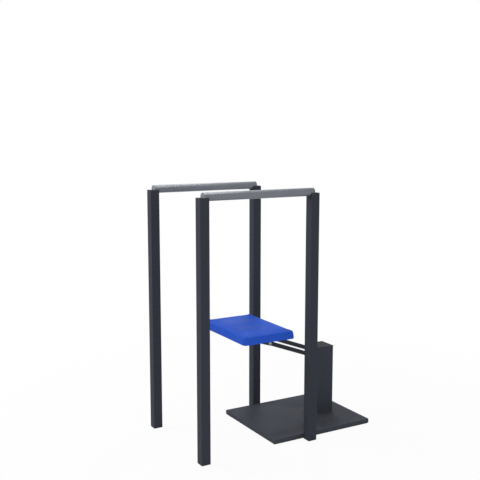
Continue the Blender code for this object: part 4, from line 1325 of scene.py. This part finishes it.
@dataclass
class SpringAssist(SubAssembly):
    """The two springs, the yoke over them, and the carriage, screw and wheel under them."""

    turns: float = 22.0
    wire_radius: float = 0.0025
    coil_radius: float = 0.0115
    end_stub: float = 0.0055
    points_per_turn: int = 20
    thread_pitch: float = 0.004
    thread_depth: float = 0.0011
    thread_parts: int = 24
    thread_bite: float = 0.0003
    thread_start: float = 0.002
    thread_end: float = 0.003
    root_start: float = 0.001
    screw_radius: float = 0.008
    screw_bevel: float = 0.0015
    journal_radius: float = 0.005
    journal: float = 0.008
    wheel_ribs: int = 44
    wheel_sides: int = 88
    wheel_dish: float = 0.002
    wheel_play: float = 0.0003
    hub_width: float = 0.006
    rim_width: float = 0.007
    rib_radius: float = 0.0016
    wheel_edge: float = 0.0015

    def build(self) -> None:
        """Builds the springs, the thumb wheel and the tension screw."""
        tree = CoilTree(SPRING_WIRE_STEEL)
        for side in Side:
            self._spring(side, tree)
        self._wheel()
        self._screw()

    def _spring(self, side: Side, tree: CoilTree) -> None:
        """Builds one spring as a lower and an upper half.

        Args:
            side: The side it stands on.
            tree: The coil's tree.
        """
        node = f"{side.word}_spring"
        low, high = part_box(node)
        x, y = middle_of(node).x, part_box("tension_screw")[0].y + self.screw_radius
        bottom, top = low.z + self.end_stub, high.z - self.end_stub
        middle, half_turns, wire = (bottom + top) / 2, self.turns / 2, self.wire_radius
        shared = {
            "Points": int(half_turns * self.points_per_turn),
            "Turns": half_turns,
            "Coil radius": self.coil_radius,
            "Wire radius": wire,
            "Rise": middle - bottom,
            "X": x,
            "Y": y,
        }
        halves = (
            ("lower", 0.0, bottom, 0.0, (low.z, bottom), "anchor_carriage", [node]),
            ("upper", half_turns, middle, self.turns, (top, high.z), "spring_yoke", []),
        )
        for part, first_turn, start, end_turn, stub, body, replaced in halves:
            name = f"{side.word}_spring_{part}_half"
            own = {"First turn": first_turn, "Start height": start, "End turn": end_turn}
            bm = bmesh.new()
            bm.from_mesh(tree.mesh(name, shared | own))
            rings = [(0, stub[0]), (wire, stub[0]), (wire, stub[1]), (0, stub[1])]
            turn_shape(bm, rings, 12, Matrix.Translation((x, y, 0)))
            piece = link_object(name, mesh_from(bm, name))
            cover_mesh(piece.data, SPRING_WIRE_STEEL)
            end = bottom if part == "lower" else top
            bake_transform(piece)
            settle_piece(piece, replaced)

    def _wheel(self) -> None:
        """Builds the thumb wheel with a ribbed rim and a dished face."""
        low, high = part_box("thumb_wheel")
        radius, y, height = (high.y - low.y) / 2, (low.y + high.y) / 2, high.z - low.z
        edge, dish, rib = self.wheel_edge, self.wheel_dish, self.rib_radius
        hub = self.screw_radius + self.wheel_play + self.hub_width
        body = radius - rib * 0.7
        rim = body - self.rim_width
        lower = [(hub - self.hub_width, 0), (hub, 0), (hub + dish, dish), (rim - dish, dish)]
        lower += [(rim, 0), (body - edge, 0), (body, edge)]
        place = Matrix.Translation((0, y, low.z))
        rings = lower + flipped(lower, height)
        wheel = turned("thumb_wheel_rim", rings, self.wheel_sides, place, loop=True)
        place_piece(wheel, "thumb_wheel_body", WHEEL_ENAMEL, "tensioner", ["thumb_wheel"])
        end = [(0, edge * 0.8), (rib * 0.6, edge * 0.8), (rib, edge * 1.6)]
        pattern = turned("wheel_rib", end + flipped(end, height), 10)
        angles = [FULL_TURN * index / self.wheel_ribs for index in range(self.wheel_ribs)]
        centres = [place @ on_circle(radius - rib, angle, 0) for angle in angles]
        places = [(centre, (0, 0, 1)) for centre in centres]
        spread_piece("thumb_wheel_ribs", WHEEL_ENAMEL, "tensioner", pattern, places)

    def _screw(self) -> None:
        """Builds the tension screw with a real thread above the wheel."""
        low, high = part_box("tension_screw")
        y = (low.y + high.y) / 2
        wheel_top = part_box("thrust_washer")[1].z
        shoulder = low.z + self.journal
        root = self.screw_radius - self.thread_depth
        rings = [(0, low.z), (self.journal_radius, low.z), (self.journal_radius, shoulder)]
        rings += [(self.screw_radius, shoulder), (self.screw_radius, wheel_top)]
        rings += [(root, wheel_top + self.root_start), (root, high.z - self.screw_bevel)]
        rings += [(root - self.screw_bevel, high.z), (0, high.z)]
        bm = bmesh.new()
        turn_shape(bm, rings, 32, Matrix.Translation((0, y, 0)))
        self._thread(bm, y, wheel_top + self.thread_start, high.z - self.thread_end)
        name = "tension_screw_threaded"
        place_piece(mesh_from(bm, name), name, ZINC, "tensioner", ["tension_screw"])

    def _thread(self, bm: BMesh, y: float, bottom: float, top: float) -> None:
        """Adds a ridge that winds round the screw and fades in and out.

        Args:
            bm: The mesh being built.
            y: Y of the screw's axis.
            bottom: Height where the thread starts.
            top: Height where it ends.
        """
        pitch, parts = self.thread_pitch, self.thread_parts
        root = self.screw_radius - self.thread_depth
        count = int((top - bottom) / pitch * parts)
        half, crest = pitch * 0.42, pitch * 0.12
        rows = []
        for index in range(count + 1):
            fade = min(1.0, index / parts * 2, (count - index) / parts * 2)
            outer, inner = root + self.thread_depth * max(0.05, fade), root - self.thread_bite
            section = ((inner, -half), (outer, -crest), (outer, crest), (inner, half))
            angle, z = FULL_TURN * index / parts, bottom + pitch * index / parts
            points = [on_circle(radius, angle, z + rise) for radius, rise in section]
            rows.append([bm.verts.new(point + Vector((0, y, 0))) for point in points])
        skin_rows(bm, rows, caps=True)

    def dress(self) -> None:
        """Dresses the yoke, the carriage, the washer and the buffers."""
        dress_nodes(ZINC, "spring_yoke", "anchor_carriage")
        dress_nodes(BRONZE, "thrust_washer")
        dress_nodes(FOOT_RUBBER, "down_buffer", "up_buffer")


class WeldTree(GeometryTree):
    """A weld bead: overlapping flattened drops along a straight line."""

    def __init__(self, finish: Finish) -> None:
        """Builds the tree, whose bead gets the finish.

        Args:
            finish: The bead's finish.
        """
        super().__init__("weld_bead")
        start, end = self.inputs("Vector", "Start", "End")
        pitch, radius = self.inputs("Float", "Pitch", "Radius")
        (seed,) = self.inputs("Int", "Seed")
        ends = {"Start": start, "End": end}
        line = self.add("GeometryNodeCurvePrimitiveLine", ends, mode="POINTS")
        cut = {"Curve": line, "Length": pitch}
        path = self.add("GeometryNodeResampleCurve", cut, mode="LENGTH")
        ball = {"Segments": 8, "Rings": 5, "Radius": radius}
        sphere = self.add("GeometryNodeMeshUVSphere", ball)
        drop = self.add("GeometryNodeSetShadeSmooth", {0: sphere})
        limits = {0: (0.9, 0.8, 0.75), 1: (1.1, 1.1, 0.95), "Seed": seed}
        size = self.add("FunctionNodeRandomValue", limits, data_type="FLOAT_VECTOR")
        drops = {"Points": path, "Instance": drop, "Scale": size}
        self.close(self.add("GeometryNodeInstanceOnPoints", drops), finish)


@dataclass
class KneePad(SubAssembly):
    """The cushion on its board, with the cover's stapled hem, bracket and screws under it."""

    corner: float = 0.018
    top_round: float = 0.0155
    under_round: float = 0.003
    height: float = 0.044
    shrunk: float = 0.0008
    crown: float = 0.0016
    quick_crown: float = 0.0042
    draw: float = 0.002
    flat_cells: tuple[int, int, int] = (52, 35, 5)
    round_cells: int = 5
    swell: float = 0.003
    pressure: float = 4.0
    swell_steps: int = 20
    cloth_quality: int = 6
    held_height: float = 0.006
    free_height: float = 0.026
    pleat_depth: float = 0.0005
    pleat_reach: float = 0.03
    board_gap: float = 0.0003
    pocket_depth: float = 0.01
    hem_width: float = 0.013
    hem_outside: float = 0.004
    hem_gap: float = 0.0001
    hem_thickness: float = 0.0007
    staple_inset: float = 0.006
    staple_pitch: float = 0.021
    staple_width: float = 0.009
    staple_wire: float = 0.00055
    screw: ButtonScrew = ButtonScrew(0.006, 0.0028, 0.002, 0.003)
    screw_seed: int = 11
    ear_outer: float = 0.025
    plate_thickness: float = 0.005
    weld_stand: float = 0.0004
    bracket_ease: float = 0.0009
    weld_radius: float = 0.0024
    weld_pitch: float = 0.0021
    weld_front_gap: float = 0.016
    weld_rear_gap: float = 0.014
    weld_seed: int = 3
    cover: Vinyl = field(init=False)
    board: Plywood = field(init=False)

    def __post_init__(self) -> None:
        """Takes the cushion's and the board's places from the frame."""
        low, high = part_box("knee_pad")
        centre, half = tuple((low + high) / 2), tuple((high - low) / 2)
        self.cover = Vinyl("blue_vinyl", "pad_vinyl", (41, 88, 202), 0.56, centre=centre, half=half)
        low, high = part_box("pad_board")
        birch, place = (186, 150, 104), {"bottom": low.z, "thickness": high.z - low.z}
        self.board = Plywood("birch_plywood", "plywood", birch, 0.6, **place)

    def build(self) -> None:
        """Builds the cushion, the hem with its staples, the screws and the welds."""
        self._cushion()
        self._hem()
        self._staples()
        self._screws()
        self._welds()

    def _lines(self, half: float, low_round: float, high_round: float, cells: int) -> list[float]:
        """Grid places along one axis, close together where the edges are rounded.

        Args:
            half: Half the cushion's size along the axis.
            low_round: Radius of the edges at the low end.
            high_round: Radius of the edges at the high end.
            cells: Cells in the flat part.

        Returns:
            The places, from low to high.
        """
        steps = [math.tan(math.pi / 4 * i / self.round_cells) for i in range(self.round_cells + 1)]
        low_part = [-half + low_round * (1 - s) for s in reversed(steps)]
        high_part = [half - high_round * (1 - s) for s in steps]
        inner = (high_part[0] - low_part[-1]) / cells
        flat = [low_part[-1] + inner * i for i in range(1, cells)]
        return low_part + flat + high_part

    def _rounded(self, point: Vector, half: Vector) -> Vector:
        """Moves a point of the box's surface onto the rounded, crowned and drawn-in form.

        Args:
            point: A point on the box, about the cushion's middle.
            half: Half the cushion's size.

        Returns:
            The point on the cushion.
        """
        rise = self.top_round if point.z > 0 else self.under_round
        spans = Vector((self.corner, self.corner, rise))
        limits = [half[i] - spans[i] for i in range(3)]
        inner = Vector([max(-limits[i], min(limits[i], point[i])) for i in range(3)])
        away = Vector([(point[i] - inner[i]) / spans[i] for i in range(3)])
        if away.length > 1e-9:
            away.normalize()
        moved = Vector([inner[i] + away[i] * spans[i] for i in range(3)])
        x_left, y_left = (1 - (moved[i] / half[i]) ** 2 for i in range(2))
        if moved.z > 0:
            crown = self.crown
            belly = max(0.0, x_left) * max(0.0, y_left)
            moved.z += crown * (belly**0.7) * moved.z / half.z
        level = 1 - abs(moved.z / half.z) ** 3 * 0.5
        for i, left in ((0, y_left), (1, x_left)):
            if abs(away[i]) > TINY:
                moved[i] -= math.copysign(self.draw * left * abs(away[i]) * level, moved[i])
        return moved + self._pleats(moved, away, half)

    def _pleats(self, point: Vector, away: Vector, half: Vector) -> Vector:
        """The small upright folds that the cover makes round its corners.

        Args:
            point: A point on the cushion, about its middle.
            away: Which way the surface faces there.
            half: Half the cushion's size.

        Returns:
            How far the point moves for the folds.
        """
        from_x, from_y = half.x - abs(point.x), half.y - abs(point.y)
        spread = max(from_x, from_y)
        out = Vector((away.x, away.y, 0))
        if spread > self.pleat_reach or abs(point.z) > half.z * 0.98 or out.length <= TINY:
            return Vector((0, 0, 0))
        along = (from_x - from_y) / self.pleat_reach
        fade = (1 - spread / self.pleat_reach) * (0.35 + 0.65 * max(0.0, -point.z / half.z + 0.3))
        depth = self.pleat_depth * fade
        return out * (depth * math.cos(along * math.pi * 5) - depth)

    def _cushion(self) -> None:
        """Builds the crowned cushion with the pocket that its board fills."""
        low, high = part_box("knee_pad")
        centre = (low + high) / 2
        half = (high - low) / 2 + Vector((self.draw / 2, self.draw / 2, 0))
        centre.z = low.z + self.height / 2
        half.z = self.height / 2
        half -= Vector((self.shrunk, self.shrunk, 0))
        rounds = ((self.corner,) * 2, (self.corner,) * 2, (self.under_round, self.top_round))
        lines = [self._lines(half[i], *rounds[i], self.flat_cells[i]) for i in range(3)]
        bm = bmesh.new()
        found: dict[tuple[int, ...], BMVert] = {}

        def corner_at(*index: int) -> BMVert:
            """The vertex of one grid corner.

            Args:
                *index: The corner's place in the three lines.

            Returns:
                The vertex, made when it is first asked for.
            """
            if index not in found:
                point = Vector([line[i] for line, i in zip(lines, index)])
                found[index] = bm.verts.new(centre + self._rounded(point, half))
            return found[index]

        ends = [len(line) - 1 for line in lines]
        for axis in range(3):
            first, second = [a for a in range(3) if a != axis]
            for place in (0, ends[axis]):
                for u in range(ends[first]):
                    for v in range(ends[second]):
                        corners = []
                        for du, dv in ((0, 0), (1, 0), (1, 1), (0, 1)):
                            index = [0, 0, 0]
                            index[axis], index[first], index[second] = place, u + du, v + dv
                            corners.append(corner_at(*index))
                        bm.faces.new(corners)
        shell = mesh_from(bm, "cushion_shell")
        shell = self._swollen(shell, low.z)
        mesh = self._with_pocket(shell)
        piece = place_piece(mesh, "knee_cushion", self.cover, "pad_carrier", ["knee_pad"])

    def _swollen(self, shell: Mesh, foot: float) -> Mesh:
        """Swells the cover as cloth over its filling, with its foot held to the board.

        Args:
            shell: The closed cushion, a little smaller than it ends.
            foot: Height of its underside.

        Returns:
            The swollen cushion, with one subdivision.
        """
        start = np.empty(len(shell.vertices) * 3)
        shell.vertices.foreach_get("co", start)
        body = link_object("cushion_cloth", shell)
        held = body.vertex_groups.new(name="held")
        for vertex in shell.vertices:
            rise = (vertex.co.z - foot - self.held_height) / (self.free_height - self.held_height)
            held.add([vertex.index], 1.0 - min(1.0, max(0.0, rise)), "REPLACE")
        cloth = body.modifiers.new("swell", "CLOTH")
        cloth.settings.vertex_group_mass = "held"
        cloth.settings.use_pressure = True
        cloth.settings.uniform_pressure_force = self.pressure
        cloth.settings.effector_weights.gravity = 0.0
        cloth.settings.quality = self.cloth_quality
        cloth.point_cache.frame_end = self.swell_steps
        for step in range(1, self.swell_steps + 1):
            bpy.context.scene.frame_set(step)
        swollen = seen_mesh(body, keep=True)
        body.modifiers.remove(cloth)
        bpy.context.scene.frame_set(1)
        end = np.empty(len(start))
        swollen.vertices.foreach_get("co", end)
        travel = (end - start).reshape(-1, 3)
        length = np.maximum(np.linalg.norm(travel, axis=1, keepdims=True), 1e-9)
        capped = travel * (self.swell * np.tanh(length / self.swell) / length)
        LOG.info("cushion swells by %.1f mm at most", float(length.max()) * 1000)
        swollen.vertices.foreach_set("co", (start.reshape(-1, 3) + capped).ravel())
        body.data = swollen
        finer = body.modifiers.new("finer", "SUBSURF")
        finer.levels = finer.render_levels = 1
        return seen_mesh(body)

    def _with_pocket(self, shell: Mesh) -> Mesh:
        """Cuts the board's pocket into the cushion's underside.

        Args:
            shell: The closed cushion.

        Returns:
            The cushion with its pocket.
        """
        low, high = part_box("pad_board")
        gap = Vector((self.board_gap,) * 3)
        bm = bmesh.new()
        add_block(bm, low - gap - Vector((0, 0, self.pocket_depth)), high + gap)
        cutter = link_object("board_pocket", mesh_from(bm, "board_pocket", smooth=False))
        body = link_object("cushion_body", shell)
        pocket = body.modifiers.new("pocket", "BOOLEAN")
        pocket.operation = "DIFFERENCE"
        pocket.solver = "EXACT"
        pocket.object = cutter
        mesh = seen_mesh(body)
        bpy.data.objects.remove(cutter, do_unlink=True)
        shade_by_angle(mesh)
        return mesh

    def _hem_path(self, inset: float, z: float) -> list[Vector]:
        """Corners of the hem's path round the board, open at the rear where the bracket lies.

        Args:
            inset: Distance inside the board's edges.
            z: The path's height.

        Returns:
            The path's six corners.
        """
        low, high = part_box("pad_board")
        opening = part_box("pad_bracket")[1].x + self.hem_outside
        left, right, front, rear = low.x + inset, high.x - inset, low.y + inset, high.y - inset
        path = [(-opening, rear), (left, rear), (left, front)]
        path += [(right, front), (right, rear), (opening, rear)]
        return [Vector((x, y, z)) for x, y in path]

    def _hem(self) -> None:
        """Builds the strip of cover that is folded under the board."""
        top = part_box("pad_board")[0].z - self.hem_gap
        under = top - self.hem_thickness
        outer, inner = -self.hem_outside, self.hem_width
        layers = [(outer, top), (inner, top), (inner, under), (outer, under)]
        bm = bmesh.new()
        stations = zip(*(self._hem_path(inset, z) for inset, z in layers))
        skin_rows(bm, [[bm.verts.new(p) for p in points] for points in stations], caps=True)
        place_piece(mesh_from(bm, "cover_hem"), "cover_hem", self.cover, "pad_carrier")

    def _staples(self) -> None:
        """Spreads the staples along the hem."""
        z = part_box("pad_board")[0].z - self.hem_thickness
        path = self._hem_path(self.staple_inset, z)
        places = []
        for first, second in zip(path, path[1:]):
            run = second - first
            count = max(1, round(run.length / self.staple_pitch))
            middles = [first + run * (index + 0.5) / count for index in range(count)]
            places += [(middle, run.normalized()) for middle in middles]
        half, wire = self.staple_width / 2, self.staple_wire
        bm = bmesh.new()
        add_block(bm, (-wire, -wire / 2, -half), (wire, wire / 2, half), edge=wire * 0.3)
        spread_piece("hem_staples", ZINC, "pad_carrier", mesh_from(bm, "staple"), places)

    def _screws(self) -> None:
        """Builds the four screws that hold the board, seen from below."""
        nodes = [f"{end}_{side.word}_pad_screw" for end in ("front", "rear") for side in Side]
        places = []
        for node in nodes:
            x, y, _ = middle_of(node)
            places.append(((x, y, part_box(node)[0].z + self.screw.height), (0, 0, -1)))
        turns = {"spin": math.pi / 3, "seed": self.screw_seed}
        spread_piece("pad_screws", ZINC, "pad_carrier", self.screw.mesh(), places, nodes, **turns)

    def _welds(self) -> None:
        """Builds the beads that hold the bracket's ears, along their outer sides."""
        low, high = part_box("pad_bracket")
        z = high.z - self.plate_thickness - self.weld_stand
        tree = WeldTree(PLAIN_COAT)
        for side in Side:
            x = side.value * (self.ear_outer + self.weld_stand)
            values = {
                "Start": (x, low.y + self.weld_front_gap, z),
                "End": (x, high.y - self.weld_rear_gap, z),
                "Pitch": self.weld_pitch,
                "Radius": self.weld_radius,
                "Seed": self.weld_seed + side.value,
            }
            name = f"bracket_{side.word}_weld"
            place_piece(tree.mesh(name, values), name, PLAIN_COAT, "pad_carrier")

    def dress(self) -> None:
        """Eases and dresses the bracket, and dresses the board."""
        easing = Easing(self.bracket_ease, least=0.02)
        ease_node("pad_bracket", PLAIN_COAT, "pad_carrier", easing)
        dress_nodes(self.board, "pad_board")


@dataclass(frozen=True)
class Lamp:
    """One soft square lamp, unseen by the camera."""

    name: str
    place: Point
    power: float
    size: float
    aim: Point = (0.0, 0.0, 0.7)
    gloss_only: bool = False

    def hang(self) -> None:
        """Adds the lamp, which faces its aim."""
        data = bpy.data.lights.new(self.name, "AREA")
        data.energy = self.power
        data.size = self.size
        lamp = link_object(self.name, data)
        lamp.location = self.place
        facing = Vector(self.aim) - Vector(self.place)
        lamp.rotation_euler = facing.to_track_quat("-Z", "Y").to_euler()
        lamp.visible_camera = False
        lamp.visible_diffuse = not self.gloss_only


@dataclass
class Studio:
    """Pale floor, white surround, soft lamps and the camera.

    The glint lamp adds only a soft shine, which shows most on the rails' front halves.
    """

    camera_place: Point = (3.44226, -2.11836, 1.55585)
    camera_pitch_deg: float = 7.933
    camera_turn_deg: float = 60.075
    lens: float = 59.79
    sensor: float = 36.0
    floor_size: float = 60.0
    floor_drop: float = 0.0005
    floor_colour: Colour = (0.84, 0.84, 0.85, 1.0)
    floor_shade: float = 0.06
    shade_from: float = 0.9
    shade_to: float = 2.6
    ambient: float = 0.56
    lamps: tuple[Lamp, ...] = (
        Lamp("key_lamp", (-1.85, -3.0, 3.5), 78.0, 2.4),
        Lamp("rim_lamp", (-1.9, 1.3, 4.4), 40.0, 0.6),
        Lamp("fill_lamp", (4.8, -1.2, 1.3), 30.0, 2.6),
        Lamp("glint_lamp", (0.4, 0.0, 2.9), 24.0, 0.8, (0.0, -0.5, 1.25), gloss_only=True),
    )

    def build(self) -> None:
        """Builds the whole studio."""
        self._camera()
        self._world()
        self._floor()
        for lamp in self.lamps:
            lamp.hang()
        bpy.context.scene.view_settings.view_transform = "Standard"

    def _camera(self) -> None:
        """Sets the camera at the photograph's angle."""
        data = bpy.data.cameras.new("camera")
        data.lens = self.lens
        data.sensor_width = self.sensor
        camera = link_object("camera", data)
        camera.location = self.camera_place
        tilt, turn = math.radians(90 - self.camera_pitch_deg), math.radians(self.camera_turn_deg)
        camera.rotation_euler = (tilt, 0, turn)
        bpy.context.scene.camera = camera

    @staticmethod
    def _seen(tree: ShaderTree) -> Value:
        """1 for what the camera, gloss and glass show, 0 for light on surfaces.

        Args:
            tree: The tree that asks.

        Returns:
            The share, 0 or 1.
        """
        outputs = tree.add("ShaderNodeLightPath", output="Is Camera Ray").socket.node.outputs
        names = ("Is Camera Ray", "Is Glossy Ray", "Is Transmission Ray")
        camera, gloss, glass = (Value(tree, outputs[name]) for name in names)
        return tree.math("ADD", camera + gloss, glass, clamp=True)

    def _world(self) -> None:
        """Makes a white surround that lights the object at a plain level."""
        world = bpy.data.worlds.new("surround")
        world.use_nodes = True
        tree = ShaderTree(world.node_tree)
        strength = self.ambient + self._seen(tree) * (1.0 - self.ambient)
        background = tree.add("ShaderNodeBackground", {"Color": WHITE, "Strength": strength})
        tree.add("ShaderNodeOutputWorld", {"Surface": background}, None)
        bpy.context.scene.world = world

    def _floor(self) -> None:
        """Makes the pale floor, which shows near white and keeps a faint shade."""
        bm = bmesh.new()
        bmesh.ops.create_grid(bm, x_segments=1, y_segments=1, size=self.floor_size / 2)
        floor = link_object("floor", mesh_from(bm, "floor", smooth=False))
        material = bpy.data.materials.new("pale_floor")
        material.use_nodes = True
        tree = ShaderTree(material.node_tree)
        glow = tree.add("ShaderNodeEmission", {"Color": WHITE, "Strength": 1.0})
        matt = tree.add("ShaderNodeBsdfDiffuse", {"Color": self.floor_colour})
        place = {0: tree.place()}
        reach = tree.add("ShaderNodeVectorMath", place, "Value", operation="LENGTH")
        near = 1.0 - tree.step(reach, self.shade_from, self.shade_to)
        share = self._seen(tree) * (1.0 - near * self.floor_shade)
        mixed = tree.add("ShaderNodeMixShader", {0: share, 1: matt, 2: glow})
        tree.add("ShaderNodeOutputMaterial", {"Surface": mixed}, None)
        floor.data.materials.append(material)
        floor.location.z = -self.floor_drop


def main() -> None:
    """Builds the studio, then builds and dresses every sub-assembly."""
    logging.basicConfig(level=logging.INFO, format="%(name)s %(message)s")
    Studio().build()
    for kind in (SideFrames, BasePlate, Column, ArmLinkage, SpringAssist, KneePad):
        part = kind()
        part.build()
        part.dress()


if __name__ == "__main__":
    main()
